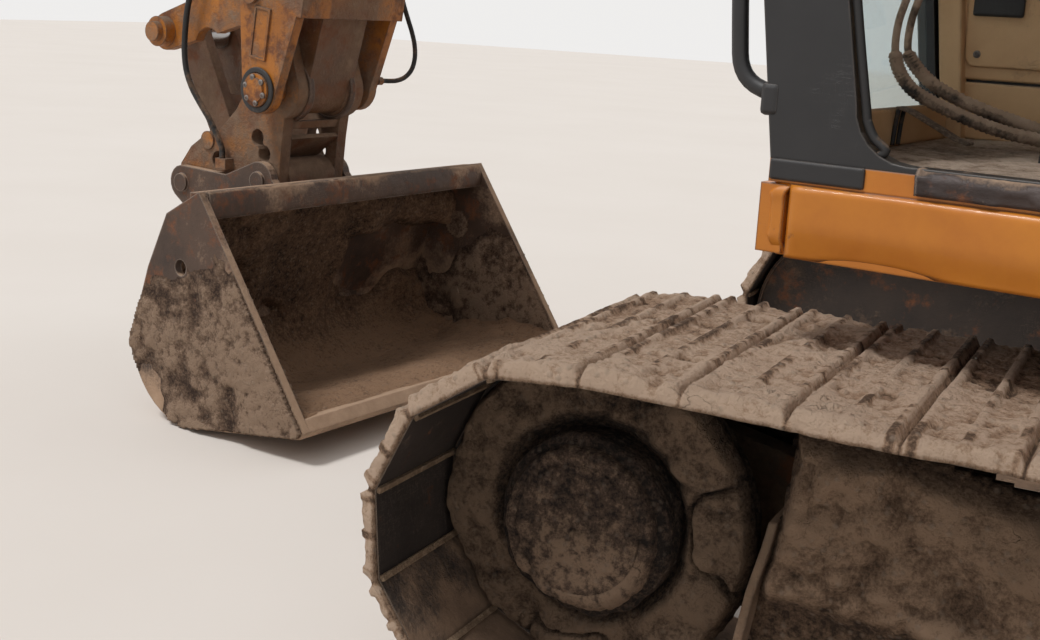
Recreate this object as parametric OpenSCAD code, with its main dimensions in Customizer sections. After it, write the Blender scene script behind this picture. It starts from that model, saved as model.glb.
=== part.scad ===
// Crawler excavator with a two-piece boom, quick coupler and ditching bucket.
// X runs along the tracks towards the sprockets, Y to the left, Z up; every length is in millimetres.

/* [Undercarriage] */
// Distance between the centre lines of the two tracks
gauge = 2390; // [2200:10:2600]
// Width of a track shoe
shoe_w = 800; // [600:10:900]
// Nominal length of one track shoe
shoe_pitch = 190; // [175:1:216]
// Thickness of a track shoe
shoe_t = 10; // [8:1:16]
// Height of the grouser bars on a shoe
grouser_h = 25; // [15:1:40]
// Distance from the slew axis to the sprocket axles
sprocket_x = 1830; // [1700:10:2000]
// Distance from the slew axis to the idler axles
idler_x = 1830; // [1700:10:2000]
// Height of the sprocket axles
sprocket_z = 480; // [460:5:520]
// Height of the idler axles
idler_z = 430; // [410:5:470]
// Radius of the shoes' inner faces round the sprocket and the idler
wrap_r = 360; // [340:5:390]
// Place of one shoe seam on the top run
seam_x = 1560; // [1450:5:1640]
// Height of the link chain inside the shoes
link_h = 70; // [50:5:80]
// Width of the link chain
link_w = 180; // [150:5:220]
// Radius of the final drive's drum
drive_r = 178; // [150:2:200]
// Reach of the final drive outside the track's centre line
drive_out = 190; // [150:5:250]
// Half width of a track frame beam
frame_half_w = 170; // [150:5:200]
// Top of the track frame beams
frame_top = 600; // [570:5:620]
// Underside of the track frame beams
frame_low = 300; // [280:5:340]
// Underside of the belly plate
belly_z = 470; // [440:5:520]
// Radius of the track rollers
roller_r = 82; // [70:1:90]
// Radius of the tie-down hole in a frame's end
tie_r = 32; // [25:1:40]

/* [Slewing platform] */
// Angle of the platform to the tracks, seen from above
slew_angle = -8.35; // [-90:0.05:90]
// Underside of the platform
deck_low = 1047; // [1030:1:1080]
// Top of the platform
deck_top = 1195; // [1180:1:1230]
// Half width of the platform
deck_half_w = 1360; // [1300:5:1400]
// Width of the orange side skirts
skirt_w = 170; // [120:5:220]
// Front end of the left skirt's corner cap
skirt_front = 1405; // [1350:5:1450]
// Length of the corner cap
cap_len = 55; // [40:5:120]
// Radius that the tail sweeps
tail_r = 2750; // [2600:10:2900]
// Front face of the counterweight, behind the slew axis
weight_front = 2005; // [1950:5:2100]
// Underside of the counterweight
weight_low = 1085; // [1060:5:1120]
// Top of the counterweight
weight_top = 2150; // [2000:10:2250]
// Radius of the lifting holes in the counterweight
lift_r = 28; // [20:1:35]
// Distance between the lifting holes
lift_gap = 900; // [600:20:1200]
// Top of the engine house
house_top = 2150; // [2050:10:2250]
// Thickness of the engine house's walls and doors
sheet_t = 25; // [15:1:35]
// Height of the hood
hood_h = 90; // [60:5:140]
// Half width of the hood
hood_half_w = 560; // [450:10:650]
// Top of the fuel tank
tank_top = 1980; // [1850:10:2100]
// Top of the tool box
box_top = 1640; // [1500:10:1750]

/* [Cab] */
// Inner side of the cab, from the slew axis
cab_in = 420; // [400:5:460]
// Outer side of the cab
cab_out = 1360; // [1300:5:1400]
// Back of the cab
cab_back = -430; // [-480:5:-400]
// Foot of the cab's front
cab_front = 1390; // [1350:5:1420]
// How far the front leans out at the height of the knee
cab_nose = 80; // [40:5:110]
// Underside of the roof
cab_roof_z = 2930; // [2850:5:3000]
// Thickness of the roof
roof_t = 60; // [40:5:90]
// Thickness of the cab's walls and of its door
cab_wall = 45; // [35:1:60]
// Thickness of the cab floor
floor_t = 45; // [30:1:60]
// Thickness of the window panes
glass_t = 6; // [5:0.5:10]
// Back edge of the door opening
door_back = 430; // [380:5:470]
// Angle to which the door stands open
door_open = 176; // [90:1:178]
// Gap round the door
door_gap = 6; // [5:0.5:10]
// Top of the seat cushion
seat_z = 1720; // [1650:5:1800]

/* [Arm] */
// Sideways place of the arm's middle plane
arm_y = 25; // [-60:5:40]
// Distance of the boom foot pin ahead of the slew axis
foot_x = 150; // [50:5:250]
// Height of the boom foot pin
foot_z = 1700; // [1650:5:1800]
// Length of the boom's lower section between its pins
base_len = 2600; // [2400:10:2700]
// Length of the boom's upper section between its pins
upper_len = 3000; // [2800:10:3300]
// Length of the stick between its pins
stick_len = 2900; // [2700:10:3100]
// Distance of the stick's nose pin ahead of the slew axis
nose_x = 3955; // [3800:5:4100]
// Height of the stick's nose pin
nose_z = 1152; // [1152:1:1400]
// Lean of the stick's top towards the cab
stick_lean = 9; // [4:0.5:14]
// Half width of the boom's box sections
boom_half_w = 190; // [170:5:210]
// Half width of the stick's box section
stick_half_w = 150; // [130:5:150]
// Half width of the stick's middle lug at the nose
lug_half_w = 120; // [100:2:130]
// Thickness of the coupler's side plates
ear_t = 50; // [30:2:60]
// Thickness of the tipping levers
lever_t = 40; // [30:1:50]
// Thickness of the stick's outer nose plates
cheek_t = 40; // [30:1:50]
// Side clearance between pieces that turn on a pin
side_gap = 6; // [5:0.5:9]
// Radius of the nose pin and the boom pins
pin_r = 45; // [35:1:50]
// Radial clearance of a pin in its bore
pin_gap = 0.05; // [0.02:0.01:0.1]

/* [Cylinders] */
// Outer radius of the boom cylinders
boom_cyl_r = 70; // [60:1:75]
// Radius of the boom cylinders' rods
boom_rod_r = 42; // [35:1:50]
// Closed length of the boom cylinders
boom_closed = 1600; // [1500:10:1700]
// Outer radius of the adjusting, stick and bucket cylinders
arm_cyl_r = 75; // [60:1:80]
// Radius of their rods
arm_rod_r = 45; // [35:1:50]
// Closed length of the adjusting cylinder
adjust_closed = 1860; // [1700:10:1900]
// Closed length of the stick cylinder
stick_closed = 1560; // [1400:10:1600]
// Closed length of the bucket cylinder
bucket_closed = 1780; // [1500:10:1800]
// Wall of a cylinder tube
tube_wall = 14; // [10:1:18]
// Radius of a cylinder's eyes
eye_r = 68; // [60:1:75]
// Half width of a cylinder's eyes
eye_half_w = 50; // [40:1:52]
// Radius of the pins in the cylinders' base eyes
eye_pin_r = 35; // [25:1:40]

/* [Bucket] */
// Width of the bucket over its side plates
bucket_w = 1560; // [1400:10:1800]
// Thickness of the bucket's shell
shell_t = 22; // [15:1:30]
// Thickness of the side plates
side_t = 28; // [20:1:35]
// Radius of the round hole in each side plate
side_hole_r = 28; // [20:1:35]
// Height of the square tube along the bucket's lip
lip_h = 95; // [70:5:120]
// Radius of the bucket's heel
heel_r = 290; // [250:5:320]

/* [Hidden] */
$fn = 48;
deg = 180 / PI;

// The origin lies on the ground under the middle of the whole machine's box
origin_x = 920;
origin_y = 42;

ochre = [0.76, 0.45, 0.15];
black = [0.10, 0.10, 0.11];
steel = [0.33, 0.27, 0.23];
mud = [0.62, 0.50, 0.40];
chrome = [0.75, 0.75, 0.76];
beige = [0.72, 0.66, 0.56];
pane = [0.60, 0.72, 0.74, 0.4];

// Arm geometry in the plane of the arm: [forward, up] from the slew axis at ground level
function dir(a) = [cos(a), sin(a)];
function turned(p, a) = [p[0] * cos(a) - p[1] * sin(a), p[0] * sin(a) + p[1] * cos(a)];
function angle_to(a, b) = atan2(b[1] - a[1], b[0] - a[0]);
foot = [foot_x, foot_z];
nose = [nose_x, nose_z];
stick_angle = stick_lean - 90;
top_pin = nose - stick_len * dir(stick_angle);
chord = norm(top_pin - foot);
base_angle = angle_to(foot, top_pin)
    + acos((pow(base_len, 2) + pow(chord, 2) - pow(upper_len, 2)) / (2 * base_len * chord));
elbow = foot + base_len * dir(base_angle);
upper_angle = angle_to(elbow, top_pin);
function on_base(p) = foot + turned(p, base_angle);
function on_upper_boom(p) = elbow + turned(p, upper_angle);
function on_stick(p) = top_pin + turned(p, stick_angle);

// Pins: the boom cylinders' feet and rod eyes, then the adjusting, stick and bucket cylinders'
boom_cyl_foot = [850, 1290];
boom_cyl_pin = [2298, -100];
adjust_foot = [550, -330];
adjust_pin = [1300, -330];
stick_cyl_foot = [900, 420];
stick_cyl_pin = [-610, 225];
bucket_cyl_foot = [380, 400];
lever_pin = [stick_len - 339, 92];
joint_off = [575, 183];
link_off = [325, -300];
joint = nose + joint_off;
link_low = nose + link_off;

// Sideways places, as half widths from the arm's middle plane
ear_in = lug_half_w + side_gap;
ear_out = ear_in + ear_t;
lever_in = ear_out + side_gap + 3;
lever_out = lever_in + lever_t;
cheek_in = lever_out + side_gap + 4;
cheek_out = cheek_in + cheek_t;
pin_end = cheek_out + 25;
fork_in = eye_half_w + side_gap;
fork_out = fork_in + 34;
boom_eye_y = boom_half_w + 40 + eye_half_w;
tower_in = 250 + side_gap;

// Frames of reference
module on_tracks() translate([-origin_x, -origin_y, 0]) children();
module on_upper() on_tracks() rotate([0, 0, slew_angle]) children();
module on_arm() on_upper() translate([0, arm_y, 0]) children();
module at(p, a = 0) translate([p[0], 0, p[1]]) rotate([0, -a, 0]) children();
module both_sides() {
    children();
    mirror([0, 1, 0]) children();
}

// A plate cut to an outline in the X-Z plane, between two sideways places
module slab(points, y0, y1)
    translate([0, y1, 0]) rotate([90, 0, 0]) linear_extrude(y1 - y0) polygon(points);
// A round bar along Y
module bar(p, r, y0, y1)
    translate([p[0], y1, p[1]]) rotate([90, 0, 0]) cylinder(r = r, h = y1 - y0);
module block(x, y, z)
    translate([x[0], y[0], z[0]]) cube([x[1] - x[0], y[1] - y[0], z[1] - z[0]]);
function arc(c, r, a0, a1, n) = [for (i = [0:n]) c + r * dir(a0 + (a1 - a0) * i / n)];

// The track's path, clockwise round the shoes' inner faces
sprocket_c = [sprocket_x, sprocket_z];
idler_c = [-idler_x, idler_z];
run_z = shoe_t + grouser_h;
front_run = [sprocket_x - 500, run_z];
back_run = [-idler_x + 340, run_z];
function tangent(c, g, side) = angle_to(c, g) + side * acos(wrap_r / norm(g - c));
front_turn = tangent(sprocket_c, front_run, 1);
back_turn = tangent(idler_c, back_run, -1);
front_end = (front_turn > 0 ? front_turn - 360 : front_turn);
leave_front = sprocket_c + wrap_r * dir(front_end);
meet_back = idler_c + wrap_r * dir(back_turn);
back_top = idler_c + [0, wrap_r];
front_top = sprocket_c + [0, wrap_r];
s1 = (90 - front_end) / deg * wrap_r;
s2 = s1 + norm(leave_front - front_run);
s3 = s2 + norm(front_run - back_run);
s4 = s3 + norm(back_run - meet_back);
s5 = s4 + (back_turn + 270) / deg * wrap_r;
path_len = s5 + norm(front_top - back_top);
shoe_count = round(path_len / shoe_pitch);
pitch = path_len / shoe_count;
phase = (path_len - (sprocket_x - seam_x)) % pitch;
function between(a, b, t) = a + (b - a) * t;
function path_point(s) =
    s < s1 ? sprocket_c + wrap_r * dir(90 - s / wrap_r * deg)
    : s < s2 ? between(leave_front, front_run, (s - s1) / (s2 - s1))
    : s < s3 ? between(front_run, back_run, (s - s2) / (s3 - s2))
    : s < s4 ? between(back_run, meet_back, (s - s3) / (s4 - s3))
    : s < s5 ? idler_c + wrap_r * dir(back_turn - (s - s4) / wrap_r * deg)
    : between(back_top, front_top, (s - s5) / (path_len - s5));
seams = [for (k = [0:shoe_count - 1]) path_point((phase + k * pitch) % path_len)];
function seam(k) = seams[(k + shoe_count) % shoe_count];
// One shoe's outer outline: three sharp grousers between its two seams
bar_w = 28;
function shoe_points(p, q) =
    let (len = norm(q - p), t = (q - p) / len, n = [-t[1], t[0]], out = shoe_t + grouser_h)
    [for (g = [[3, 0], [(len - bar_w) / 2, 0], [len - bar_w - 3, 0]])
        for (c = [[0, shoe_t], [bar_w / 2, out], [bar_w, shoe_t]]) p + (g[0] + c[0]) * t + c[1] * n];

module track() color(mud) {
    difference() {
        slab([for (k = [0:shoe_count - 1]) each shoe_points(seam(k), seam(k + 1))], -shoe_w / 2, shoe_w / 2);
        slab(seams, -shoe_w / 2 - 1, shoe_w / 2 + 1);
    }
    difference() {
        slab(seams, -link_w / 2, link_w / 2);
        slab([for (k = [0:shoe_count - 1])
            let (d = seam(k + 1) - seam(k - 1)) seam(k) + link_h / norm(d) * [d[1], -d[0]]],
            -link_w / 2 - 1, link_w / 2 + 1);
    }
}
module each_side() on_tracks() both_sides() translate([0, gauge / 2, 0]) children();
module track_chains() each_side() track();

// Track frame: box beam, idler yoke, roller guards and the plate that carries the final drive
yoke_in = 130;
guard_low = 120;
roller_half_w = 95;
roller_axle_r = 30;
tread_z = run_z + link_h + 0.3;
roller_z = tread_z + roller_r;
carrier_r = 55;
function carrier_c(x) = [x, back_top[1] + (front_top[1] - back_top[1]) * (x - back_top[0])
    / (front_top[0] - back_top[0]) - link_h - carrier_r - 0.3];
drive_in = 110;
motor_r = 215;
beam_front = sprocket_x - 470;
module track_frame() color(ochre) {
    difference() {
        slab([[-1290, frame_low], [beam_front - 100, frame_low], [beam_front + 60, frame_low + 90],
            [beam_front + 60, frame_top - 60], [beam_front - 120, frame_top], [-1000, frame_top],
            [-1290, frame_top - 90]], -frame_half_w, frame_half_w);
        bar(sprocket_c, wrap_r + 20, -frame_half_w - 1, frame_half_w + 1);
    }
    both_sides() {
        slab([[-idler_x - 70, idler_z - 60], [-1260, frame_low], [-1260, frame_top - 90],
            [-idler_x - 70, idler_z + 60]], yoke_in, frame_half_w);
        slab([[-1320, guard_low + 60], [-1200, guard_low], [beam_front - 180, guard_low],
            [beam_front - 60, guard_low + 60], [beam_front - 60, frame_low + 5], [-1320, frame_low + 5]],
            yoke_in, frame_half_w);
    }
    difference() {
        slab([[beam_front - 150, frame_low + 20], [sprocket_x, sprocket_z - motor_r],
            [sprocket_x + motor_r, sprocket_z], [sprocket_x, sprocket_z + motor_r],
            [beam_front - 150, frame_top - 40]], -frame_half_w, -drive_in);
        bar([sprocket_x + motor_r - 55, sprocket_z], tie_r, -frame_half_w - 1, 0);
    }
    for (x = [-700, 500]) both_sides() block([x - 35, x + 35], [112, 140], [frame_top - 5, carrier_c(x)[1] + 30]);
}
module track_frames() each_side() track_frame();

// Sprocket: toothed ring bolted to the final drive's flange
tooth_count = 21;
tooth_tip = wrap_r - link_h - 12;
tooth_root = tooth_tip - 34;
module sprockets() each_side() color(steel) difference() {
    slab([for (i = [0:tooth_count - 1]) for (t = [[-0.3, tooth_root], [-0.12, tooth_tip],
        [0.12, tooth_tip], [0.3, tooth_root]])
        sprocket_c + t[1] * dir((i + t[0]) * 360 / tooth_count)], -35, 35);
    bar(sprocket_c, drive_r + 0.3, -40, 40);
}
flange_r = drive_r + 24;
plug_r = 17;
plug_ring = drive_r - 70;
module final_drives() each_side() color(mud) {
    bar(sprocket_c, drive_r, -drive_in, drive_out - 30);
    bar(sprocket_c, flange_r, 42, 66);
    bar(sprocket_c, motor_r - 12, -drive_in, -35);
    bar(sprocket_c, drive_r - 22, drive_out - 31, drive_out - 6);
    bar(sprocket_c, drive_r - 50, drive_out - 7, drive_out);
    for (a = [-75, 60, 180]) bar(sprocket_c + plug_ring * dir(a), plug_r, drive_out - 1, drive_out + 8);
}
// Idlers, eight rollers under each frame and two on top of it
module rollers() each_side() color(steel) {
    bar(idler_c, (wrap_r - link_h) * cos(pitch / wrap_r * deg / 2) - 2, -40, 40);
    bar(idler_c, 105, -110, 110);
    bar(idler_c, 48, -yoke_in, yoke_in);
    for (x = [-1150:330:beam_front - 150]) {
        bar([x, roller_z], roller_r, -roller_half_w, roller_half_w);
        bar([x, roller_z], roller_axle_r, -yoke_in, yoke_in);
    }
    for (x = [-700, 500]) {
        bar(carrier_c(x), carrier_r, -105, 105);
        bar(carrier_c(x), 24, -112, 112);
    }
}

// Car body: ring seat, box and four legs that meet the track frames
ring_seat = 930;
frame_in = gauge / 2 - frame_half_w;
module car_body() on_tracks() color(ochre) difference() {
    union() {
        translate([0, 0, belly_z]) linear_extrude(frame_top - 40 - belly_z) polygon([
            [-620, -640], [-1020, -frame_in], [-420, -frame_in], [-250, -760], [250, -760],
            [420, -frame_in], [1020, -frame_in], [620, -640], [620, 640], [1020, frame_in],
            [420, frame_in], [250, 760], [-250, 760], [-420, frame_in], [-1020, frame_in], [-620, 640]]);
        translate([0, 0, frame_top - 41]) cylinder(r = 690, h = ring_seat - frame_top + 41);
    }
    translate([0, 0, belly_z - 1]) cylinder(r = 230, h = ring_seat);
}
race_split = 988;
module race(r0, r1, z0, z1) translate([0, 0, z0]) difference() {
    cylinder(r = r1, h = z1 - z0, $fn = 96);
    translate([0, 0, -1]) cylinder(r = r0, h = z1 - z0 + 2, $fn = 96);
}
module slew_ring() on_tracks() color(steel) race(480, 655, ring_seat, race_split);

// Platform: bottom plate, webs, deck plate, upper race, boom towers and cylinder lugs
deck_in = deck_half_w - skirt_w;
deck_t = 20;
deck_front = 1180;
tower_t = 50;
lug_t = 30;
swivel_r = 150;
notch = 300;
lug_foot = [-150, 110];
module platform() on_upper() color(black) difference() {
    union() {
        block([-760, 760], [-760, 760], [deck_low, deck_low + deck_t]);
        block([-weight_front, deck_front], [-deck_in, deck_in], [deck_top - deck_t, deck_top]);
        for (y = [-400, 360]) block([-weight_front, deck_front], [y, y + 40], [deck_low + deck_t - 5, deck_top - deck_t + 5]);
        for (x = [-weight_front, -1500, -1000, 730, deck_front - 30])
            block([x, x + 30], [-deck_in, deck_in], [deck_low + deck_t - 5, deck_top - deck_t + 5]);
        block([deck_front - 30, deck_front], [-deck_in, deck_in], [deck_low, deck_top - deck_t + 5]);
    }
    block([deck_front - notch, deck_front + 1], [arm_y - 140, arm_y + 140], [deck_low - 1, deck_top + 1]);
    translate([0, 0, deck_low - 1]) cylinder(r = swivel_r, h = deck_t + 2);
}
// Two towers that carry the boom's foot pin, and the lugs of the boom cylinders
module boom_towers() on_arm() color(black) both_sides() {
    difference() {
        union() {
            slab([[foot_x - 560, deck_top], [foot_x + 330, deck_top], [foot_x + 120, foot_z],
                [foot_x - 120, foot_z]], tower_in, tower_in + tower_t);
            bar(foot, 150, tower_in, tower_in + tower_t);
        }
        bar(foot, pin_r + pin_gap, tower_in - 1, tower_in + tower_t + 1);
    }
    for (y = [boom_eye_y - fork_in - lug_t, boom_eye_y + fork_in]) {
        slab([[boom_cyl_foot[0] + lug_foot[0], deck_top], [boom_cyl_foot[0] + lug_foot[1], deck_top],
            boom_cyl_foot + [50, -5], boom_cyl_foot + [-60, 30]], y, y + lug_t);
        bar(boom_cyl_foot, eye_r, y, y + lug_t);
    }
    bar(boom_cyl_foot, eye_pin_r, boom_eye_y - fork_in - 1, boom_eye_y + fork_in + 1);
}
// Upper race, the oil swivel in the middle of it and the swing motor on the deck
swing_x = -230;
swing_r = 125;
swing_h = 430;
module swing_gear() on_upper() color(black) {
    race(500, 640, race_split + 0.3, deck_low);
    translate([0, 0, belly_z + 60]) cylinder(r = swivel_r, h = deck_top - deck_t - belly_z - 60);
    translate([swing_x, arm_y, deck_top]) {
        cylinder(r = swing_r, h = swing_h - 120);
        cylinder(r = swing_r + 30, h = 40);
        translate([0, 0, swing_h - 121]) cylinder(r = 75, h = 121);
    }
}
module deck_skirts() on_upper() color(ochre) {
    block([-weight_front, skirt_front - cap_len - 8], [deck_in, deck_half_w], [deck_low, deck_top]);
    block([skirt_front - cap_len, skirt_front], [deck_in + 20, deck_half_w], [deck_low + 6, deck_top - 4]);
    block([skirt_front - cap_len - 9, skirt_front - cap_len + 1], [deck_in + 40, deck_half_w - 30],
        [deck_low + 30, deck_top - 30]);
    block([-weight_front, deck_front], [-deck_half_w, -deck_in], [deck_low, deck_top]);
}

// Counterweight: a block whose back follows the tail's sweep
weight_half_w = 1345;
tail_turn = asin(weight_half_w / tail_r);
lift_x = -2330;
module counterweight() on_upper() color(ochre) difference() {
    union() {
        translate([0, 0, weight_low + 160]) linear_extrude(weight_top - weight_low - 160)
            polygon(concat([[-weight_front, weight_half_w]],
                arc([0, 0], tail_r, 180 - tail_turn, 180 + tail_turn, 24), [[-weight_front, -weight_half_w]]));
        translate([0, 0, weight_low]) linear_extrude(161)
            polygon(concat([[-weight_front, weight_half_w - 60]],
                arc([0, 0], tail_r - 70, 180 - tail_turn + 1.5, 180 + tail_turn - 1.5, 24),
                [[-weight_front, 60 - weight_half_w]]));
    }
    for (y = [-lift_gap / 2, lift_gap / 2]) translate([lift_x, y, weight_top - 160]) cylinder(r = lift_r, h = 161);
    tail_lamp_place() block([-lamp_deep, 200], [-tail_lamp_w / 2, tail_lamp_w / 2], [0, tail_lamp_h]);
    for (z = [weight_low + 300, weight_low + 340]) difference() {
        translate([0, 0, z]) cylinder(r = tail_r + 50, h = 14);
        translate([0, 0, z - 1]) cylinder(r = tail_r - 12, h = 16);
        block([-weight_front, 3000], [-3000, 3000], [z - 2, z + 17]);
    }
}
tail_lamp_w = 220;
tail_lamp_h = 80;
lamp_deep = 60;
module tail_lamp_place() for (a = [-24, 24]) rotate([0, 0, 180 + a])
    translate([tail_r, 0, weight_low + 520]) children();

// Engine house: walls round the engine, open where the doors and the hood close it
house_front = 500;
house_half_w = 1345;
tank_front = 1150;
tank_side = 560;
hood_back = weight_front - 105;
hood_front = 720;
door_low = deck_top + 30;
door_high = house_top - 70;
left_door = [-weight_front + 45, -house_front - 60];
right_door = [-weight_front + 45, -tank_front - 45];
post = 30;
module engine_house() on_upper() color(ochre) difference() {
    translate([0, 0, deck_top]) linear_extrude(house_top - deck_top) polygon([
        [-weight_front, -house_half_w], [-tank_front, -house_half_w], [-tank_front, -tank_side],
        [-house_front, -tank_side], [-house_front, house_half_w], [-weight_front, house_half_w]]);
    translate([0, 0, deck_top - 1]) linear_extrude(house_top - deck_top - sheet_t + 1) polygon([
        [-weight_front + sheet_t, -house_half_w + sheet_t], [-tank_front - sheet_t, -house_half_w + sheet_t],
        [-tank_front - sheet_t, -tank_side + sheet_t], [-house_front - sheet_t, -tank_side + sheet_t],
        [-house_front - sheet_t, house_half_w - sheet_t], [-weight_front + sheet_t, house_half_w - sheet_t]]);
    block([-hood_back + 20, -hood_front - 20], [-hood_half_w + 20, hood_half_w - 20], [house_top - 60, house_top + 1]);
    block([left_door[0] + 20, left_door[1] - 20], [house_half_w - 60, house_half_w + 1], [door_low + 20, door_high - 20]);
    block([right_door[0] + 20, right_door[1] - 20], [-house_half_w - 1, 60 - house_half_w], [door_low + 20, door_high - 20]);
}
module engine() on_upper() color(steel) block([-1780, -1040], [-520, 560], [deck_top, 1950]);

// A lid or door: a tray with a turned-in rim, hinged on a bar along one edge
hinge_r = 14;
hood_hinge = [-hood_front + 20, house_top + 20];
module hood() on_upper() color(ochre) {
    difference() {
        block([-hood_back, -hood_front], [-hood_half_w, hood_half_w], [house_top + 0.3, house_top + hood_h]);
        block([-hood_back + sheet_t, -hood_front - sheet_t], [-hood_half_w + sheet_t, hood_half_w - sheet_t],
            [house_top, house_top + hood_h - sheet_t]);
        for (i = [0:slot_count - 1]) block([-hood_back + 180 + i * slot_gap, -hood_back + 180 + i * slot_gap + slot_h],
            [-hood_half_w + 150, hood_half_w - 150], [house_top, house_top + hood_h + 1]);
    }
    both_sides() {
        block([-hood_front - 5, hood_hinge[0]], [330, 390], [house_top + 10, house_top + 30]);
        bar(hood_hinge, hinge_r, 330, 390);
    }
}
door_hinge_x = -weight_front + 22;
slot_count = 7;
slot_gap = 75;
slot_h = 30;
latch_w = 120;
module side_door(x, y_in) {
    difference() {
        block(x, [y_in, y_in + sheet_t], [door_low, door_high]);
        for (i = [0:slot_count - 1]) block([x[0] + 150, x[1] - 150], [y_in - 1, y_in + sheet_t + 1],
            [door_high - 110 - i * slot_gap - slot_h, door_high - 110 - i * slot_gap]);
    }
    block([x[1] - 40 - latch_w, x[1] - 40], [y_in + sheet_t - 1, y_in + sheet_t + 14],
        [door_low + 200, door_low + 240]);
    for (z = [door_low + 120, door_high - 180]) {
        block([door_hinge_x, x[0] + 60], [y_in + sheet_t, y_in + sheet_t + 12], [z, z + 60]);
        translate([door_hinge_x, y_in + sheet_t, z]) cylinder(r = hinge_r, h = 60);
    }
}
module side_door_left() on_upper() color(ochre) side_door(left_door, house_half_w + 0.3);
module side_door_right() on_upper() color(ochre) mirror([0, 1, 0]) side_door(right_door, house_half_w + 0.3);

// Tanks and tool box on the right
step_d = 230;
module tanks() on_upper() color(ochre) {
    difference() {
        block([335, deck_front], [-house_half_w, -640], [deck_top, box_top]);
        block([deck_front - step_d, deck_front + 1], [-house_half_w - 1, -900], [deck_top + 220, box_top + 1]);
    }
    block([-house_front + 5, 330], [-house_half_w, -tank_side], [deck_top, tank_top]);
    translate([-100, -900, tank_top - 1]) cylinder(r = 60, h = 61);
    block([-tank_front + 5, -house_front - 5], [-house_half_w, -tank_side - 5], [deck_top, house_top - 20]);
    translate([-800, -950, house_top - 21]) cylinder(r = 90, h = 46);
}
// Rails: bent tubes along the right side and on the tank
rail_r = 17;
module rail(points) for (i = [0:len(points) - 2]) {
    let (a = points[i], b = points[i + 1], d = b - a)
    translate(a) rotate([0, acos(d[2] / norm(d)), atan2(d[1], d[0])]) cylinder(r = rail_r, h = norm(d));
    if (i < len(points) - 2) translate(points[i + 1]) sphere(r = rail_r + 1);
}
rail_y = -house_half_w + 60;
handle_y = cab_out - 23;
mirror_y = -house_half_w + 20;
rail_back = 260;
rail_top = box_top + 960;
inner_rail_y = -700;
inner_rail_x = 600;
module handrails() on_upper() color(black) {
    rail([[deck_front - step_d - 60, rail_y, box_top], [deck_front - step_d - 60, rail_y, rail_top - 300],
        [rail_back + 160, rail_y, rail_top], [rail_back, rail_y, rail_top], [rail_back, rail_y, tank_top]]);
    rail([[deck_front - 40, inner_rail_y, box_top], [deck_front - 40, inner_rail_y, rail_top - 450],
        [inner_rail_x, inner_rail_y, rail_top - 250], [inner_rail_x, inner_rail_y, box_top]]);
    block([rail_back - 14, rail_back + 14], [mirror_y - 60, rail_y], [rail_top - 140, rail_top - 100]);
    block([rail_back - 20, rail_back + 20], [mirror_y - 190, mirror_y - 50], [rail_top - 260, rail_top + 40]);
    difference() {
        rail([[cab_front - 20, handle_y, 1350], [cab_front + 92, handle_y, 1385], [cab_front + 107, handle_y, 1540],
            [cab_front + 135, handle_y, 1930], [cab_front + 20, handle_y, 1990]]);
        slab(cab_profile(-0.3), cab_in, cab_out);
    }
}
exhaust_c = [-1500, -900];
module exhaust() on_upper() color(steel) {
    translate([exhaust_c[0], exhaust_c[1], house_top]) cylinder(r = 70, h = 40);
    translate([exhaust_c[0], exhaust_c[1], house_top + 39]) difference() {
        cylinder(r = 55, h = 420);
        translate([0, 0, 60]) cylinder(r = 48, h = 400);
    }
}

// Cab: floor, shell with its windows cut, roof and panes
knee_z = 1780;
shoulder_z = 2150;
floor_top = deck_top + floor_t;
function cab_profile(i) = [
    [cab_back + i, floor_top], [cab_front - i, floor_top], [cab_front + cab_nose - i, knee_z],
    [cab_front + cab_nose - 25 - i, shoulder_z], [cab_front - 200 - i, cab_roof_z],
    [cab_back + 30 + i, cab_roof_z], [cab_back + i, cab_roof_z - 60]];
// Front edge of the door opening at a height, following the front pillar
pillar_w = 165;
sill_z = floor_top + 12;
head_z = cab_roof_z - 75;
corner_r = 110;
function door_outline(g) = [
    [door_back + g, sill_z + g], each arc([cab_front - pillar_w - corner_r, sill_z + corner_r], corner_r - g, -90, 0, 6),
    [cab_front + cab_nose - pillar_w - g, knee_z], [cab_front + cab_nose - pillar_w - 25 - g, shoulder_z],
    [cab_front - pillar_w - 175 - g, head_z - g], [door_back + g, head_z - g]];
door_hinge = [door_back - 15, cab_out + 20];
door_hinge_z = [1450, 2500];
knuckle_h = 50;
side_in = cab_in + 90;
side_out = cab_out - 90;
window_low = 1800;
window_high = 2800;
module cab_floor() on_upper() color(ochre) {
    block([cab_back, cab_front], [cab_in, cab_out], [deck_top, floor_top]);
}
module side_window(y0, y1) slab([[cab_back + 110, window_low], [cab_front - 120, window_low],
    [cab_front - 120, shoulder_z], [cab_front - 330, window_high], [cab_back + 110, window_high]], y0, y1);
module rear_side_window(y0, y1)
    slab([[cab_back + 90, window_low], [door_back - 110, window_low], [door_back - 110, window_high],
        [cab_back + 90, window_high]], y0, y1);
module rear_window(x0, x1) block([x0, x1], [side_in, side_out], [window_low + 100, window_high]);
module front_panes(i0, i1) intersection() {
    difference() {
        slab(cab_profile(i0), side_in, side_out);
        slab(concat([for (p = cab_profile(i1)) p], []), side_in - 1, side_out + 1);
    }
    union() {
        block([cab_front - 200, cab_front + 200], [side_in, side_out], [floor_top + 60, knee_z - 45]);
        block([cab_front - 400, cab_front + 200], [side_in, side_out], [knee_z + 30, cab_roof_z - 70]);
    }
}
module cab_shell() on_upper() color(black) {
    shell_walls();
    for (z = door_hinge_z) block([door_hinge[0] - hinge_r, door_hinge[0] + hinge_r],
        [cab_out - 1, door_hinge[1] + hinge_r], [z - 25, z - 0.3]);
}
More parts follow.
